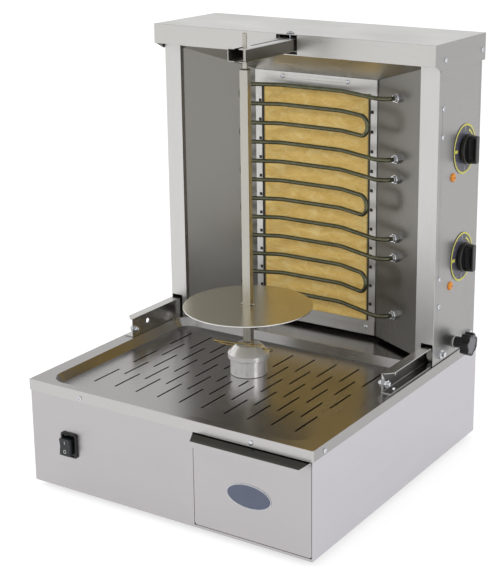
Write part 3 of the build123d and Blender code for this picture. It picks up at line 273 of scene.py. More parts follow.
zinc = plain_metal("zinc_plated_steel", "d2d4d8", "aeb1b5", 0.2, 3)
bright_zinc = plain_metal("bright_nickel", "e8e9ec", "c9ccd2", 0.12, 4)
brass_wire = plain_metal("yellow_passivated_wire", "cbb37a", "9a8350", 0.2, 5)
heater_sheath = plain_metal("oxidised_heater_sheath", "74745f", "4b4d3e", 0.24, 14, relief=0.02)
motor_paint = moulded("grey_motor_enamel", "4a4d52", 0.45, 0.6, 0.02)
black_plastic = moulded("black_thermoset", "080808", 0.28, 0.5, 0.012, ior=1.55)
black_gloss = moulded("black_glossy_key", "1c2024", 0.22, 0.8, 0.01)
black_rubber = moulded("black_rubber", "070707", 0.36, 0.6, 0.02, ior=1.52)
white_nylon = moulded("white_nylon", "e4e3da", 0.45, 0.8, 0.02, ior=1.53)
aluminium = turned_aluminium()

print("the heater sheath is", heater_sheath.name)

# %% [markdown]
# The panel behind the elements is a pressed mineral fibre board. Fibres lie flat in it at all angles and the
# binder browns where it is hot, so it is golden with lighter and darker streaks up to a centimetre wide, and its
# face is slightly rough. Two noises give that: long ones along the board's width, and small flecks. Under the
# two steel strips that hold it, the board is painted dark as painted shade, which shows through the strips' square
# holes.

# %% Fibre board
board_low, board_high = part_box("heat_board")
board_middle, board_half = (board_low.x + board_high.x) / 2, (board_high.x - board_low.x) / 2
strip_width = 16 * MM
notch_shade_fade = 3 * MM
streak_length, streak_width, fleck_size = 22 * MM, 9 * MM, 2.6 * MM


def fibre_board():
    """Golden mineral fibre board with streaks and flecks, painted dark as shade under its two strips."""
    material, tree, shader, place = new_finish("pressed_mineral_fibre_board", 0.0, 0.62, 1.5)
    lay = add_node(tree, "Mapping", {"Vector": place, "Scale": [1 / streak_length, 1.0, 1 / streak_width]})
    streaks = add_node(tree, "TexNoise", {"Vector": lay, "Scale": 1.0, "Detail": 6.0, "Roughness": 0.62,
                                         "Distortion": 0.8})
    flecks = add_node(tree, "TexNoise", {"Vector": place, "Scale": 1 / fleck_size, "Detail": 3.0})
    ramp = add_node(tree, "ValToRGB", {"Fac": streaks})
    stops = ramp.color_ramp.elements
    stops[0].position, stops[0].color = 0.30, hex_colour("e6bd62")
    stops[1].position, stops[1].color = 0.72, hex_colour("ffe49c")
    middle = stops.new(0.5)
    middle.color = hex_colour("f4cf7a")
    fleck = add_node(tree, "MapRange", {"Value": flecks, "From Min": 0.35, "From Max": 0.65, "To Min": 0.94,
                                        "To Max": 1.04})
    tint = add_node(tree, "Mix", {"Factor": 1.0, 6: ramp, 7: fleck}, data_type="RGBA", blend_type="MULTIPLY")
    bump = add_node(tree, "Bump", {"Height": streaks, "Strength": 0.5, "Distance": 0.2 * MM})
    # Painted shade: the board under each strip is painted dark, for the shade seen through the strips' holes.
    across = add_node(tree, "SeparateXYZ", {0: place})
    off_middle = add_node(tree, "Math", {0: across, 1: board_middle}, operation="SUBTRACT")
    reach = add_node(tree, "Math", {0: off_middle}, operation="ABSOLUTE")
    notch_shade = add_node(tree, "MapRange", {"Value": reach, "From Min": board_half - strip_width,
                                       "From Max": board_half - strip_width + notch_shade_fade})
    tint = add_node(tree, "Mix", {"Factor": notch_shade, 6: tint.outputs[2], 7: hex_colour("2e2a22")}, data_type="RGBA")
    feed(shader, {"Base Color": tint.outputs[2], "Normal": bump})
    return material


board_finish = fibre_board()
print("board finish:", len(board_finish.node_tree.nodes), "nodes")

# %% [markdown]
# The pilot lamps have amber lenses of clear plastic over a neon tube. They are off in the picture, and look
# orange because light goes in, colours, and comes back out. Transmission mixed with plain colour does that
# without a lamp inside. The dials' foil, their inks and the small enamelled or moulded extras follow.

# %% Lenses, dial plate and prints
def amber_lens():
    """Clear amber plastic, lighter towards its rim."""
    material, tree, shader, place = new_finish("amber_lamp_lens", 0.0, 0.12, 1.49)
    ribs = add_node(tree, "TexNoise", {"Vector": place, "Scale": 1 / (3 * MM), "Detail": 2.0})
    tint = add_node(tree, "Mix", {"Factor": ribs, 6: hex_colour("ff8c0a"), 7: hex_colour("ffb22a")},
                    data_type="RGBA")
    feed(shader, {"Base Color": tint.outputs[2], "Transmission Weight": 0.05, "Coat Weight": 0.2})
    return material


amber = amber_lens()
dial_blue = moulded("blue_grey_dial_foil", "5b5a69", 0.34, 0.5, 0.01)
print_yellow = moulded("yellow_screen_print", "f2ec74", 0.5, 0.4, 0.01)
print_grey = moulded("pale_screen_print", "d2d3cc", 0.5, 0.4, 0.01)
badge_grey = moulded("plain_badge_enamel", "656d83", 0.3, 0.6, 0.01)
white_washer = moulded("white_fibre_washer", "dcdcda", 0.6, 0.7, 0.04)
# Painted light: the clamp knob's end face is painted grey for the light on it.
end_painted_light = moulded("clamp_end_painted_light", "85858a", 0.42, 0.5, 0.02)

finish_for = {"brushed_sheet": casing_steel, "tray_sheet": tray_steel_painted_shade, "inner_sheet": wall_steel_painted_shade,
              "strip_steel": strip_steel, "zinc_steel": zinc, "bar_steel": bar_steel, "hub_aluminium": aluminium,
              "clip_brass": brass_wire, "heater_tube": heater_sheath, "bright_nut": bright_zinc,
              "refractory": board_finish, "black_plastic": black_plastic, "black_gloss": black_gloss,
              "black_rubber": black_rubber, "dial_plate": dial_blue, "lamp_amber": amber, "nylon": white_nylon,
              "motor_paint": motor_paint, "casing_inner": inner_steel}
node_finish = {"side_panel_left": tower_steel, "side_panel_right": tower_steel, "top_cover": cover_steel,
               "arm": cover_steel, "meat_disc": disc_steel, "tower_back": tower_steel,
               "top_reflector": reflector_steel, "rail_left": rail_steel, "rail_right": rail_steel}


def finish_of(node):
    """The finish of a CAD node: its own one if it has one, else that of its record slot."""
    return node_finish.get(node, finish_for[slot_of[node]])


for node, ob in frame["nodes"].items():
    ob.data.materials.clear()
    ob.data.materials.append(finish_of(node))
print("finished", len(frame["nodes"]), "CAD nodes")

# %% [markdown]
# The studio. The machine stands on white paper in a white room. Sheet metal shows what stands around it, so the
# room decides how the metal looks. The camera and clear plastic see plain white. In metal the same room gets a
# little darker overhead and to the right, as a real studio does, which gives each side of the machine its own
# tone. The paper adds a little of its own light to what the camera and the metal see, so that it stays white
# where lamps don't reach, while the rest of its tone comes from the lamps and keeps the machine's shadow. Metal
# sees a little less of that light, as it would see paper that falls away from the lamps. The big softbox in
# front only adds soft light and shadow: bright sheet doesn't mirror it, as if a diffusing tent hung between. The
# narrow one at the side is mirrored, and gives round metal its streak of light.

# %% Studio
floor_height = cad_low.z
floor_size = 16
floor_gap = 0.2 * MM
glow_seen, glow_mirrored = 0.64, 0.5
room_strength = 1.02
overhead_shade, right_shade = 0.62, 0.82
white = (1, 1, 1, 1)
lamp_aim = (0, 0, 0.3)


def make_floor():
    bpy.ops.object.select_all(action="DESELECT")
    bpy.ops.mesh.primitive_plane_add(size=floor_size, location=(0, 0, floor_height - floor_gap))
    floor = bpy.context.object
    floor.name = "studio_floor"
    material, tree, paper, _ = new_finish("white_paper_floor", 0.0, 0.8)
    feed(paper, {"Base Color": hex_colour("c8c8c8")})
    rays = add_node(tree, "LightPath").outputs
    level = add_node(tree, "MapRange", {"Value": rays["Is Camera Ray"], "To Min": glow_mirrored,
                                        "To Max": glow_seen})
    glow = add_node(tree, "Emission", {"Color": white, "Strength": level})
    seen = add_node(tree, "Math", {0: rays["Is Camera Ray"], 1: rays["Is Glossy Ray"]}, operation="MAXIMUM")
    seen = add_node(tree, "Math", {0: seen, 1: rays["Is Transmission Ray"]}, operation="MAXIMUM")
    both = add_node(tree, "AddShader", {0: paper, 1: glow})
    choice = add_node(tree, "MixShader", {0: seen, 1: paper, 2: both})
    feed(tree.nodes["Material Output"], {"Surface": choice})
    floor.data.materials.append(material)


def make_world():
    """White to the camera. Metal sees it a little darker overhead and to the right."""
    world = bpy.data.worlds.new("photo_studio")
    bpy.context.scene.world = world
    world.use_nodes = True
    tree = world.node_tree
    room = tree.nodes["Background"]
    direction = add_node(tree, "TexCoord").outputs["Generated"]
    split = add_node(tree, "SeparateXYZ", {0: direction}).outputs
    height = add_node(tree, "MapRange", {"Value": split["Z"], "From Min": 0.1, "From Max": 0.9, "To Min": 1.0,
                                         "To Max": overhead_shade})
    side = add_node(tree, "MapRange", {"Value": split["X"], "From Min": -0.2, "From Max": 1.0, "To Min": 1.0,
                                       "To Max": right_shade})
    tone = add_node(tree, "Math", {0: height, 1: side}, operation="MULTIPLY")
    grey = add_node(tree, "CombineColor", {0: tone, 1: tone, 2: tone})
    feed(room, {"Color": grey, "Strength": room_strength})
    plain = add_node(tree, "Background", {"Color": white, "Strength": 1.0})
    rays = add_node(tree, "LightPath").outputs
    clear = add_node(tree, "Math", {0: rays["Is Camera Ray"], 1: rays["Is Transmission Ray"]}, operation="MAXIMUM")
    choice = add_node(tree, "MixShader", {0: clear, 1: room, 2: plain})
    feed(tree.nodes["World Output"], {"Surface": choice})


def add_lamp(name, place, size, watts, mirrored):
    data = bpy.data.lights.new(name, "AREA")
    data.shape = "RECTANGLE"
    data.size, data.size_y = size
    data.energy = watts
    lamp = bpy.data.objects.new(name, data)
    lamp.location = place
    lamp.visible_glossy = mirrored
    lamp.rotation_euler = (Vector(lamp_aim) - Vector(place)).to_track_quat("-Z", "Y").to_euler()
    bpy.context.scene.collection.objects.link(lamp)


make_floor()
make_world()
add_lamp("key_softbox", (-1.7, -2.4, 2.3), (1.2, 1.2), watts=26, mirrored=False)
add_lamp("side_softbox", (2.6, -0.6, 1.6), (0.8, 1.4), watts=9, mirrored=True)

# %% [markdown]
# A folded sheet has no sharp edge anywhere. Its cut edges are deburred to about 0.3 mm and its folds have an
# outer radius of about the sheet's thickness and a half. Those radii catch the light and draw the thin bright
# lines that make sheet metal look real. The CAD sheets are sharp, so each one is copied, its loose triangles are
# merged into faces where they have few holes, and a bevel rounds its edges. Weighted normals then keep each broad
# face flat, so that only the rounded edge catches the light. The tray lid, the bottom and the louvred back sheets
# stay as the CAD model has them: their rows of punched slots leave no room for a bevel.

# %% Softened copies of the CAD sheets
weld_distance = 0.002 * MM
flat_angle = math.radians(0.6)


def copy_to(template, name, matrix=None):
    """New object with its own copy of a template's mesh, moved by a matrix if asked."""
    mesh = template.data.copy()
    mesh.name = name
    if matrix:
        mesh.transform(matrix)
    piece = bpy.data.objects.new(name, mesh)
    bpy.context.scene.collection.objects.link(piece)
    return piece


def welded(mesh):
    """A mesh's loose triangles, joined where their corners meet."""
    bm = bmesh.new()
    bm.from_mesh(mesh)
    bmesh.ops.remove_doubles(bm, verts=bm.verts, dist=weld_distance)
    return bm


def merged_copy(node, name, rejoin):
    """Copy of a CAD node, welded, and with flat faces rejoined where they have few holes."""
    piece = copy_to(frame["nodes"][node], name)
    mesh = piece.data
    bm = welded(mesh)
    if rejoin:
        bmesh.ops.dissolve_limit(bm, angle_limit=flat_angle, verts=bm.verts, edges=bm.edges)
    bm.to_mesh(mesh)
    bm.free()
    if mesh.has_custom_normals:
        only(piece)
        bpy.ops.mesh.customdata_custom_splitnormals_clear()
    return piece


def only(*pieces):
    """Selects just these pieces and makes the first one active."""
    bpy.ops.object.select_all(action="DESELECT")
    for piece in pieces:
        piece.select_set(True)
    bpy.context.view_layer.objects.active = pieces[0]


def apply_all(piece):
    only(piece)
    for modifier in list(piece.modifiers):
        bpy.ops.object.modifier_apply(modifier=modifier.name)


def settle(piece, body, finish, smooth=40):
    """Gives a finished piece its finish, its shading and the body that carries it."""
    piece.data.materials.clear()
    piece.data.materials.append(finish)
    only(piece)
    bpy.ops.object.shade_smooth_by_angle(angle=math.radians(smooth))
    level = piece.modifiers.new("keep_flats_flat", "WEIGHTED_NORMAL")
    level.keep_sharp = True
    level.weight = 100
    apply_all(piece)
    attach(piece, body)
    return piece


def bevel(piece, width, segments, angle):
    """Rounds a piece's edges that are sharper than an angle in degrees."""
    modifier = piece.modifiers.new("edge", "BEVEL")
    modifier.width = width * MM
    modifier.segments = segments
    modifier.limit_method = "ANGLE"
    modifier.angle_limit = math.radians(angle)
    modifier.miter_outer = "MITER_ARC"
    apply_all(piece)


def soften(node, edge, smooth=34, rejoin=True):
    """Replaces a CAD node by a copy whose edges are rounded by a width in millimetres."""
    piece = merged_copy(node, node + "_finished", rejoin)
    if edge:
        bevel(piece, edge, 1, 40)
    settle(piece, body_of[node], finish_of(node), smooth)
    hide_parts(node)


sheet_nodes = {"casing": 0.35, "drawer_front": 0.3, "top_cover": 0.35, "side_panel_left": 0.3,
               "side_panel_right": 0.3, "splay_wall_left": 0.2, "splay_wall_right": 0.2, "rail_left": 0.3,
               "rail_right": 0.3, "arm": 0.35, "board_strips": 0.2, "board_brackets": 0.25, "top_reflector": 0.2,
               "clamp_knob": 0.9, "heat_board": 0.5, "drawer_pan": 0.3, "feet": 0.8}
whole_nodes = ("casing", "top_cover", "drawer_front", "drawer_pan", "heat_board", "clamp_knob", "feet")
for node, edge in sheet_nodes.items():
    soften(node, edge, rejoin=node in whole_nodes)
print("softened", len(sheet_nodes), "sheets")

# %% [markdown]
# Turned, drawn and bent round parts only need their facets smoothed: the CAD arcs are already close enough that
# no corner shows in the outline.

# %% Round parts
round_nodes = {"hub": 0.3, "spit_bar": 0.25, "meat_disc": 0.25, "disc_pins": 0.15, "hub_clip": 0, "ring_pin": 0,
               "element_upper": 0, "element_middle": 0, "element_lower": 0, "terminal_nuts": 0.3,
               "roller_bolts": 0.2, "cable_gland": 0.3}
for node, edge in round_nodes.items():
    soften(node, edge, smooth=28, rejoin=False)
print("smoothed", len(round_nodes), "round parts")

# %% [markdown]
# Some faces of a sheet look different from the rest of it, mostly through painted light and shade. The tower's
# sides were brushed along the machine before folding, and are painted darker than the pillars folded from them, as
# shade; the casing's sides are painted lighter, as light. The arm's sides and inside are painted dark as shade, the
# rails' tracks carry a painted shadow from their top flange, the disc's deburred rim is painted brighter as a
# highlight, and a thin line of painted shadow shows where the cover's top is folded into its front lip. Each gets a
# second finish on the faces that it belongs to.

# %% Faces with their own finish
# Painted shadow: the rails' tracks are painted near black, for the shade of their top flange.
track_painted_shadow = moulded("rail_track_painted_shadow", "191815", 0.32, 3.0, 0.02)
# Painted highlight: the disc's deburred rim is painted brighter, with a smoother surface of its own.
rim_painted_highlight = plain_metal("deburred_rim_painted_highlight", "f0efec", "dddcd8", 0.2, 4)
seam_shadow = moulded("seam_shadow", "2b2a28", 0.6, 2.0, 0.01)
facing = 0.9
rim_from, rail_lip, track_from = 80, 1.0, 14


def refinish(name, finish, test):
    """Second finish on the faces of a settled piece that pass a test of centre, normal and area, in mm."""
    piece = bpy.data.objects[name]
    piece.data.materials.append(finish)
    slot = len(piece.data.materials) - 1
    chosen = [face for face in piece.data.polygons if test(face.center / MM, face.normal, face.area / MM ** 2)]
    for face in chosen:
        face.material_index = slot
    print(name, "has", len(chosen), "faces of", finish.name)


disc_low, disc_high = (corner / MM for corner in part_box("meat_disc"))
disc_middle = (disc_low + disc_high) / 2
cover_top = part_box("top_cover")[1].z / MM
# Painted shade on the side faces.
for node in ("side_panel_left", "side_panel_right", "top_cover"):
    refinish(node + "_finished", side_steel_painted_shade, lambda c, n, a: abs(n.x) > facing)
# Painted light on the casing's side faces.
refinish("casing_finished", casing_side_painted_light, lambda c, n, a: abs(n.x) > facing)
# Painted shade on the arm's sides, inside and underside.
refinish("arm_finished", shaded_steel, lambda c, n, a: abs(n.z) < 0.3 and abs(n.y) < 0.7 or n.z < -0.5)
# Painted highlight on the disc's rim.
refinish("meat_disc_finished", rim_painted_highlight,
         lambda c, n, a: abs(n.z) < facing and math.hypot(c.x - disc_middle.x, c.y - disc_middle.y) > rim_from)
# Painted shadow on each rail's track.
for side, rail in ((1, "rail_right"), (-1, "rail_left")):
    low, high = (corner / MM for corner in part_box(rail))
    refinish(rail + "_finished", track_painted_shadow, lambda c, n, a: n.x * side > facing
             and low.x + rail_lip < c.x < high.x - rail_lip and c.y > low.y + track_from)
refinish("top_cover_finished", seam_shadow, lambda c, n, a: n.y < -0.3 and n.z > 0.3 and c.z > cover_top - 1)

# %% [markdown]
# The small hardware is modelled by hand. These helpers stand for what the hand does with the mouse: they pick
# faces or edges, inset them or draw them out, and find each screw of the CAD model. A CAD screw is read for its
# axis and its head's size, so that a copy of the modelled one lands on it.

# %% Modelling helpers
def pick(piece, kind, test):
    """Goes to edit mode with only the faces or edges selected that pass the test."""
    only(piece)
    bpy.ops.object.mode_set(mode="EDIT")
    bpy.ops.mesh.select_mode(type=kind)
    bpy.ops.mesh.select_all(action="DESELECT")
    bpy.ops.object.mode_set(mode="OBJECT")
    for item in piece.data.polygons if kind == "FACE" else piece.data.edges:
        item.select = bool(test(item))
    bpy.ops.object.mode_set(mode="EDIT")


def pick_faces(piece, test):
    """Picks the faces whose centre, in millimetres, and normal pass the test."""
    pick(piece, "FACE", lambda face: test(face.center / MM, face.normal))


def pick_edges(piece, test):
    """Picks the edges whose two ends, in millimetres, pass the test."""
    pick(piece, "EDGE", lambda edge: test(*(piece.data.vertices[i].co / MM for i in edge.vertices)))


def upper(centre, normal):
    return normal.z > facing


def front(centre, normal):
    return normal.y < -facing


def every(centre, normal):
    return True


def done():
    bpy.ops.object.mode_set(mode="OBJECT")


def fresh(name, add, **settings):
    """Adds a primitive at its size and place, in millimetres, and applies its transform."""
    bpy.ops.object.select_all(action="DESELECT")
    for key in ("radius", "depth", "size", "major_radius", "minor_radius"):
        if key in settings:
            settings[key] = settings[key] * MM
    settings["location"] = Vector(settings.get("location", (0, 0, 0))) * MM
    add(**settings)
    piece = bpy.context.object
    piece.name = piece.data.name = name
    bpy.ops.object.transform_apply(location=True, rotation=True, scale=True)
    return piece


def inset(*steps):
    """Insets the picked faces by each thickness and depth in turn, in millimetres."""
    for thickness, depth in steps:
        bpy.ops.mesh.inset(thickness=thickness * MM, depth=depth * MM)


def draw_out(offset, share=None, about=(0, 0, 0)):
    """Extrudes the picked faces by an offset in millimetres, and resizes them about a point if asked."""
    bpy.ops.mesh.extrude_region_move(TRANSFORM_OT_translate={"value": [x * MM for x in offset]})
    if share:
        bpy.ops.transform.resize(value=share, center_override=Vector(about) * MM)


def draw_up(*steps):
    """Draws the picked faces up by each rise in turn, in millimetres, shrinking them by its share."""
    for rise, share in steps:
        draw_out((0, 0, rise), (share, share, 1))


def cylinder(name, radius, bottom, top, vertices=48):
    """An upright cylinder between two heights in millimetres."""
    return fresh(name, bpy.ops.mesh.primitive_cylinder_add, vertices=vertices, radius=radius, depth=top - bottom,
                 location=(0, 0, (bottom + top) / 2))


def block(name, low, high):
    """A box between two corners in millimetres."""
    centre = [(a + b) / 2 for a, b in zip(low, high)]
    piece = fresh(name, bpy.ops.mesh.primitive_cube_add, size=1.0, location=centre)
    pick_faces(piece, every)
    bpy.ops.transform.resize(value=[b - a for a, b in zip(low, high)], center_override=Vector(centre) * MM)
    done()
    return piece


def cut_away(piece, *cutters):
    """Boolean difference with each cutter, which is then deleted."""
    for cutter in cutters:
        modifier = piece.modifiers.new("cut", "BOOLEAN")
        modifier.operation = "DIFFERENCE"
        modifier.solver = "EXACT"
        modifier.object = cutter
        apply_all(piece)
        bpy.data.objects.remove(cutter)


def joined(name, *pieces):
    only(*pieces)
    bpy.ops.object.join()
    piece = bpy.context.object
    piece.name = piece.data.name = name
    return piece


def islands(node):
    """Vertex places of each separate solid in a CAD node, sorted by place, so each run gives the same order."""
    bm = welded(frame["nodes"][node].data)
    left, groups = set(bm.verts), []
    while left:
        stack, group = [left.pop()], []
        while stack:
            vertex = stack.pop()
            group.append(vertex.co.copy())
            near = {edge.other_vert(vertex) for edge in vertex.link_edges} & left
            left -= near
            stack += near
        groups.append(group)
    bm.free()
    return sorted(groups, key=lambda group: min(map(tuple, group)))


def screw_seat(points):
    """Axis, seat, head height and head radius of a small CAD screw."""
    low = Vector([min(p[i] for p in points) for i in range(3)])
    high = Vector([max(p[i] for p in points) for i in range(3)])
    middle, size = (low + high) / 2, high - low
    along = min(range(3), key=lambda i: size[i])
    radius = max(size[i] for i in range(3) if i != along) / 2
    off_axis = [(p - middle) * Vector([i != along for i in range(3)]) for p in points]
    rim = [p[along] for p, r in zip(points, off_axis) if r.length > 0.9 * radius]
    way = 1 if sum(rim) / len(rim) > middle[along] else -1
    axis = Vector([way * (i == along) for i in range(3)])
    top = high[along] if way > 0 else low[along]
    under = min(rim) if way > 0 else max(rim)
    seat = middle.copy()
    seat[along] = under
    return axis, seat, abs(top - under), radius


*_, head_height, head_radius = screw_seat(islands("lid_screws")[0])
print("a lid screw's head is", round(head_radius / MM, 2), "mm in radius and", round(head_height / MM, 2), "mm high")

# %% [markdown]
# The sheets are held by M4 pan-head machine screws with a cross recess. The head is a low dome about 7 mm
# across. A cylinder's top is drawn up in three smaller steps to make the dome, and two tapered bars cut the
# cross. One head is modelled, and each screw gets a copy of it with its own mesh, turned a little further than
# the one before.

# %% Pan-head screws
def make_screw_head(radius, height):
    r, h = radius / MM, height / MM
    head = cylinder("screw_head", r, 0, 0.4 * h, 28)
    pick_faces(head, upper)
    draw_up((0.25 * h, 0.93), (0.2 * h, 0.84), (0.15 * h, 0.62))
    done()
    bars = []
    for length, width in ((0.62 * r, 0.13 * r), (0.13 * r, 0.62 * r)):
        bar = block("cross_bar", (-length, -width, 0.35 * h), (length, width, 1.4 * h))
        pick_faces(bar, lambda c, n: n.z < -facing)
        bpy.ops.transform.resize(value=(0.55, 0.55, 1), center_override=(0, 0, 0))
        done()
        bars.append(bar)
    cut_away(head, *bars)
    return head


screw_head = make_screw_head(head_radius, head_height)
screw_groups = {node: islands(node) for node in ("lid_screws", "tower_screws", "rear_screws")}
turn_between = 0.7
for node, groups in screw_groups.items():
    for number, points in enumerate(groups):
        axis, seat, *_ = screw_seat(points)
        turn = axis.to_track_quat("Z", "Y").to_matrix().to_4x4()
        spin = Matrix.Rotation(turn_between * number, 4, "Z")
        head = copy_to(screw_head, f"{node[:-1]}_{number:02d}", Matrix.Translation(seat) @ turn @ spin)
        settle(head, body_of[node], bright_zinc, 30)
        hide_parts(node)
bpy.data.objects.remove(screw_head)
print("placed", sum(len(groups) for groups in screw_groups.values()), "screws")

# %% [markdown]
# The control knobs are compression moulded in black thermoset. A neck holds them off the dial, so that the ring
# of ticks can be read under the rim. On the neck is a round skirt with a wide bar grip, whose two faces are
# hollowed for the fingers. The skirt is a cylinder whose rim is stepped in. The grip is a second cylinder with
# both sides cut off by a bisect, so its ends keep the skirt's curve, and each flat side is then inset and pushed
# in. A small raised rib on the skirt is the pointer.

# %% Control knobs
dial_low, dial_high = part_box("dials")
knob_low, knob_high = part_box("knob_upper")
knob_radius = (knob_high.z - knob_low.z) / 2 / MM
knob_base = dial_high.x + 0.5 * MM
knob_height = (knob_high.x - knob_base) / MM
skirt_height, skirt_step = 8.6, 1.4
stand_off, neck_overlap = 3.0, 1.0
grip_half_width, grip_bottom = 6.4, 3.0
rib_half_width, rib_inner = 0.6, knob_radius * 0.86
upright = Matrix(((0, 0, 1, 0), (0, -1, 0, 0), (1, 0, 0, 0), (0, 0, 0, 1)))


def make_knob():
    neck = cylinder("knob_neck", knob_radius * 0.5, 0, stand_off + neck_overlap)
    skirt = cylinder("knob_skirt", knob_radius, stand_off, skirt_height - skirt_step, 72)
    pick_faces(skirt, upper)
    draw_up((1.0, 0.97), (0.4, 0.95))
    inset((3.0, -0.5))
    done()
    grip = cylinder("knob_grip", knob_radius * 0.97, grip_bottom, knob_height, 72)
    for side in (1, -1):
        pick_faces(grip, every)
        bpy.ops.mesh.bisect(plane_co=(0, side * grip_half_width * MM, 0), plane_no=(0, side, 0),
                            use_fill=True, clear_outer=True)
        done()
    pick_faces(grip, upper)
    bpy.ops.transform.resize(value=(0.93, 0.86, 1), center_override=(0, 0, knob_height * MM))
    done()
    for side in (1, -1):
        pick_faces(grip, lambda c, n: n.y * side > facing)
        inset((2.2, 0), (1.6, -0.9), (2.6, -0.5))
        done()
    rib = block("knob_rib", (-rib_half_width, rib_inner, stand_off + 0.8),
                (rib_half_width, knob_radius, skirt_height - 1.0))
    pick_faces(rib, upper)
    bpy.ops.transform.resize(value=(0.7, 0.9, 1), center_override=(0, rib_inner * MM, 0))
    done()
    for part, width in ((neck, 0.4), (skirt, 0.5), (grip, 0.9)):
        bevel(part, width, 3, 35)
    return joined("knob_template", skirt, neck, grip, rib)


def on_side(node, x):
    """Place on the side panel at a node's middle: x out from the machine, and its own Z turned that way."""
    low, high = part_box(node)
    return Matrix.Translation(Vector((x, (low.y + high.y) / 2, (low.z + high.z) / 2))) @ upright


knob_template = make_knob()
for node in ("knob_upper", "knob_lower"):
    knob = copy_to(knob_template, node + "_moulded", on_side(node, knob_base))
    settle(knob, node, black_plastic)
    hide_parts(node)
bpy.data.objects.remove(knob_template)
print("knobs are", round(2 * knob_radius, 1), "mm wide and", round(knob_height, 1), "mm high")

# %% [markdown]
# Each dial is a stuck-on foil, 75 mm across, screen printed in yellow and pale grey: a ring at its edge, a
# broad mark where the heat is off, ticks at the quarters with finer ones between, and a wedge that grows with
# the heat. Ink stands 0.12 mm proud. A print that is real geometry keeps sharp edges at any zoom, so each one is
# cut from a flat ring or bar that is given that thickness.

# %% Dial prints
ink = 0.12
dial_radius = 37.5
print_step = 4
quarter_ticks, fine_ticks = (0, 180, 270), (30, 60, 120, 150, 210, 240, 300, 330)


def ring_print(name, outer, inner, start=0.0, end=360.0, inner_end=None):
    """Flat ring or arc in the XY plane, its inner edge moving to another radius at the end if asked."""
    steps = int((end - start) / print_step)
    ring = fresh(name, bpy.ops.mesh.primitive_grid_add, x_subdivisions=steps, y_subdivisions=1, size=2.0)
    growth = 0 if inner_end is None else inner_end - inner
    for vertex in ring.data.vertices:
        share = (vertex.co.x / MM + 1) / 2
        edge = inner + growth * share
        radius = (outer if vertex.co.y > 0 else edge) * MM
        angle = math.radians(start + share * (end - start))
        vertex.co = (radius * math.cos(angle), radius * math.sin(angle), 0)
    if end - start >= 360:
        pick_faces(ring, every)
        bpy.ops.mesh.remove_doubles(threshold=0.01 * MM)
        done()
    return ring


def bar_print(name, angle, inner, outer, width):
    bar = fresh(name, bpy.ops.mesh.primitive_grid_add, x_subdivisions=3, y_subdivisions=1, size=1.0)
    turn = Matrix.Rotation(math.radians(angle), 4, "Z")
    for vertex in bar.data.vertices:
        x = (inner + outer) / 2 + vertex.co.x / MM * (outer - inner)
        vertex.co = turn @ Vector((x * MM, vertex.co.y / MM * width * MM, 0))
    return bar


def thicken(print_piece):
    """Gives a flat print its ink's thickness, facing up."""
    pick_faces(print_piece, every)
    bpy.ops.mesh.normals_make_consistent(inside=False)
    draw_out((0, 0, ink))
    bpy.ops.mesh.select_all(action="SELECT")
    bpy.ops.mesh.normals_make_consistent(inside=False)
    done()
    return print_piece


def make_dial_prints():
    """Angles are from the top of the dial, growing towards the front of the machine."""
    yellow = [ring_print("edge_ring", dial_radius - 0.2, dial_radius - 3.1),
              bar_print("off_mark", 90, 24.0, 35.4, 4.6),
              ring_print("heat_wedge", 31.0, 30.2, -100, -25, 27.4)]
    grey = [bar_print("tick", angle, 25.5, 33.5, 1.3) for angle in quarter_ticks]
    grey += [bar_print("tick", angle, 31.0, 33.5, 0.7) for angle in fine_ticks]
    return (joined("yellow_prints", *[thicken(part) for part in yellow]),
            joined("grey_prints", *[thicken(part) for part in grey]))


yellow_prints, grey_prints = make_dial_prints()
for node in ("knob_upper", "knob_lower"):
    for template, finish, label in ((yellow_prints, print_yellow, "yellow"), (grey_prints, print_grey, "grey")):
        mark = copy_to(template, node.replace("knob", "dial") + "_print_" + label, on_side(node, dial_high.x))
        settle(mark, "tower", finish, 30)
for template in (yellow_prints, grey_prints):
    bpy.data.objects.remove(template)
soften("dials", 0.25)

# %% [markdown]
# A pilot lamp is a snap-in lens of clear amber plastic: a thin collar and a low dome with a dimple over the
# neon tube, which shows as a darker spot. The dome is a cylinder drawn up in shrinking steps, and its last face
# is inset and pushed in.

# %% Pilot lamps
neon_spot = moulded("neon_tube_behind_lens", "8e3c08", 0.3, 0.6, 0.01)
lens_radius, collar_height = 6.9, 0.8
spot_radius, spot_from = 1.7, 1.5


def make_lamp():
    lens = cylinder("lamp_lens", lens_radius, 0, collar_height, 40)
    pick_faces(lens, upper)
    inset((0.7, 0))
    draw_up((0.9, 0.98), (0.8, 0.92), (0.6, 0.8), (0.3, 0.72))
    inset((1.5, 0), (0.4, -0.5))
    done()
    bevel(lens, 0.15, 2, 50)
    return lens


lamp_template = make_lamp()
lamp_low, lamp_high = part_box("pilot_lamps")
panel_face = dial_low.x
for name, points in zip(("lamp_a", "lamp_b"), islands("pilot_lamps")):
    middle = Vector((panel_face, (lamp_low.y + lamp_high.y) / 2,
                     (min(p.z for p in points) + max(p.z for p in points)) / 2))
    lamp = copy_to(lamp_template, name + "_lens", Matrix.Translation(middle) @ upright)
    settle(lamp, "tower", amber, 45)
    at = middle / MM
    refinish(lamp.name, neon_spot,
             lambda c, n, a: math.hypot(c.y - at.y, c.z - at.z) < spot_radius and c.x - at.x > spot_from)
    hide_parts("pilot_lamps")
bpy.data.objects.remove(lamp_template)
print("lamps stand", round((lamp_high.x - panel_face) / MM, 1), "mm out of the panel")

# %% [markdown]
# The mains switch is a splash-proof rocker. Its rubber frame is a soft rounded rectangle with a chamfered
# front, and the key stands well out of it, hollowed across the middle for the fingertip. Behind its cap the key
# is lower, so that it clears the switch's body when it tips by 18 degrees. The generic marks for on and off are a
# bar and a ring, moulded in grey.

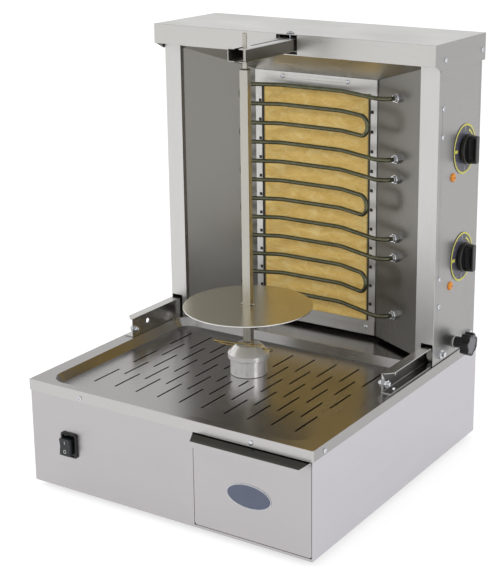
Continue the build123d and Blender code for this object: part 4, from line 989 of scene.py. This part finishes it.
# %% Mains switch
boot_low, boot_high = (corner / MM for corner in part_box("switch_boot"))
switch_middle = (boot_low + boot_high) / 2
mid_x, mid_z = switch_middle.x, switch_middle.z
key_half_width, key_half_height = 9.3, 12.9
opening_half_width, opening_half_height = 10.4, 16.2
key_front = boot_high.y - 12.6
key_cap = 5.0
hollow_depth = 1.5
mark_lift = 0.75
mark_on_height, mark_off_height = 6.9, -6.8


def is_long_y(start, end):
    return abs(start.y - end.y) > 0.5 and abs(start.x - end.x) < 0.1 and abs(start.z - end.z) < 0.1


def round_corners(piece, radius, segments):
    """Rounds a block's four edges that run from front to back."""
    pick_edges(piece, is_long_y)
    bpy.ops.mesh.bevel(offset=radius * MM, segments=segments, affect="EDGES")
    done()


def make_switch_frame():
    surround = block("switch_frame", boot_low, boot_high)
    round_corners(surround, 4.2, 6)
    pick_faces(surround, front)
    inset((0.6, 0))
    draw_out((0, -1.2, 0), (0.93, 1, 0.94), switch_middle)
    done()
    hole = block("switch_hole", (mid_x - opening_half_width, boot_low.y - 5, mid_z - opening_half_height),
                 (mid_x + opening_half_width, boot_high.y + 5, mid_z + opening_half_height))
    round_corners(hole, 2.0, 4)
    cut_away(surround, hole)
    bevel(surround, 0.5, 3, 40)
    return surround


def make_switch_key():
    key = block("switch_key", (mid_x - key_half_width, key_front, mid_z - key_half_height),
                (mid_x + key_half_width, key_front + key_cap, mid_z + key_half_height))
    round_corners(key, 1.8, 4)
    pick_faces(key, lambda c, n: n.y > facing)
    draw_out((0, 0.2, 0), (0.94, 1, 0.79), switch_middle)
    draw_out((0, boot_high.y - key_front - key_cap, 0))
    done()
    pick_faces(key, every)
    bpy.ops.mesh.bisect(plane_co=(0, 0, mid_z * MM), plane_no=(0, 0, 1))
    done()
    pick_edges(key, lambda a, b: max(abs(a.z - mid_z), abs(b.z - mid_z)) < 0.05 and max(a.y, b.y) < key_front + 0.05)
    bpy.ops.transform.translate(value=(0, hollow_depth * MM, 0))
    done()
    bevel(key, 0.8, 3, 30)
    return key


def make_switch_marks():
    hollow = math.atan2(hollow_depth, key_half_height)
    bar = block("mark_on", (mid_x - 0.5, key_front + 0.6, mid_z + 4.4), (mid_x + 0.5, key_front + 1.2, mid_z + 9.4))
    pick_faces(bar, front)
    inset((0.12, 0.06))
    done()
    ring = fresh("mark_off", bpy.ops.mesh.primitive_torus_add, major_segments=40, minor_segments=10,
                 major_radius=2.3, minor_radius=0.5, location=(mid_x, key_front + mark_lift, mid_z + mark_off_height),
                 rotation=(math.pi / 2, 0, 0))
    for mark, height, tilt in ((bar, mark_on_height, hollow), (ring, mark_off_height, -hollow)):
        middle = Vector((mid_x, key_front + mark_lift, mid_z + height)) * MM
        mark.data.transform(Matrix.Translation(middle) @ Matrix.Rotation(tilt, 4, "X") @ Matrix.Translation(-middle))
    return joined("switch_marks", bar, ring)


switch_frame = settle(make_switch_frame(), "base", black_rubber)
switch_key = settle(make_switch_key(), "rocker", black_gloss)
settle(make_switch_marks(), "rocker", print_grey)
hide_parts("switch_rocker")
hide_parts("switch_boot")
print("the key stands", round(boot_high.y - key_front, 1), "mm out of the casing")

# %% [markdown]
# On the drawer's front sits a plain oval plate, 71 by 35 mm, of pressed, zinc-plated sheet with a blue-grey enamel
# field and a thin bare rim. It is a cylinder scaled to an oval, with its front face inset and pushed in by the
# depth of the enamel.

# %% Oval plate
drawer_low, drawer_high = (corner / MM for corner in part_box("drawer_front"))
plate_half_width, plate_half_height, plate_depth = 35.5, 17.5, 0.9
plate_middle = Vector((drawer_low.x + 89.6, drawer_high.y - 1.0 - plate_depth / 2, drawer_low.z + 63.6))
enamel_area = 100


def make_oval_plate():
    plate = fresh("oval_plate", bpy.ops.mesh.primitive_cylinder_add, vertices=96, radius=1.0, depth=plate_depth,
                  rotation=(math.pi / 2, 0, 0))
    pick_faces(plate, every)
    bpy.ops.transform.resize(value=(plate_half_width, 1, plate_half_height), center_override=(0, 0, 0))
    done()
    pick_faces(plate, front)
    inset((0.9, 0.25), (0.35, -0.25))
    done()
    plate.data.transform(Matrix.Translation(plate_middle * MM))
    return plate


settle(make_oval_plate(), "drawer", zinc)
refinish("oval_plate", badge_grey, lambda c, n, a: n.y < -facing and a > enamel_area)
print("the plate is", 2 * plate_half_width, "by", 2 * plate_half_height, "mm")

# %% [markdown]
# The clamp knob is a moulded star on a steel stud. Its lobes are rounded by the bevel above. Its end face is inset to
# a shallow disc that is painted grey, as painted light where the end faces the side lamp, and a pale fibre washer
# sits under it, against the panel.

# %% Clamp knob's lit end and washer
star_low, star_high = (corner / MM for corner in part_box("clamp_knob"))
cap_depth, end_facing = 0.5, 0.95
pick_faces(bpy.data.objects["clamp_knob_finished"], lambda c, n: n.x > end_facing and c.x > star_high.x - 0.1)
inset((1.6, 0), (0.2, -cap_depth))
done()
# Painted light on the knob's inset end face.
refinish("clamp_knob_finished", end_painted_light,
         lambda c, n, a: n.x > end_facing and abs(c.x - star_high.x + cap_depth) < 0.2)


def make_star_washer():
    washer = cylinder("star_washer", 9.3, 0, 1.4)
    pick_faces(washer, upper)
    inset((1.0, 0.4))
    done()
    cut_away(washer, cylinder("star_washer_hole", 8.6, -4, 4))
    bevel(washer, 0.2, 2, 40)
    washer.data.transform(on_side("clamp_knob", panel_face + 0.3 * MM))
    return washer


settle(make_star_washer(), "clamp", white_washer)
print("the star knob is", round(star_high.z - star_low.z, 1), "mm across")

# %% [markdown]
# The drawer's grip is the top edge of its front folded outwards. Its upper face lies in the lid's shade and is seen
# at a low angle, so it shows the dark gap under the lid. That face is given a smoother finish painted dark, as
# painted shade, which is what tells the grip from the bright strip in front of it.

# %% Drawer grip
# Painted shade: the grip's upper face is painted dark.
grip_painted_shade = steel_finish("smooth_grip_painted_shade", "4b4b46", "5e5d57", 0.22, grain=0.03)
sheet_depth, grip_area = 1.2, 20
refinish("drawer_front_finished", grip_painted_shade,
         lambda c, n, a: n.z > 0.5 and c.y < drawer_high.y - sheet_depth and a > grip_area)

# %% View transform
bpy.context.scene.view_settings.view_transform = "Standard"
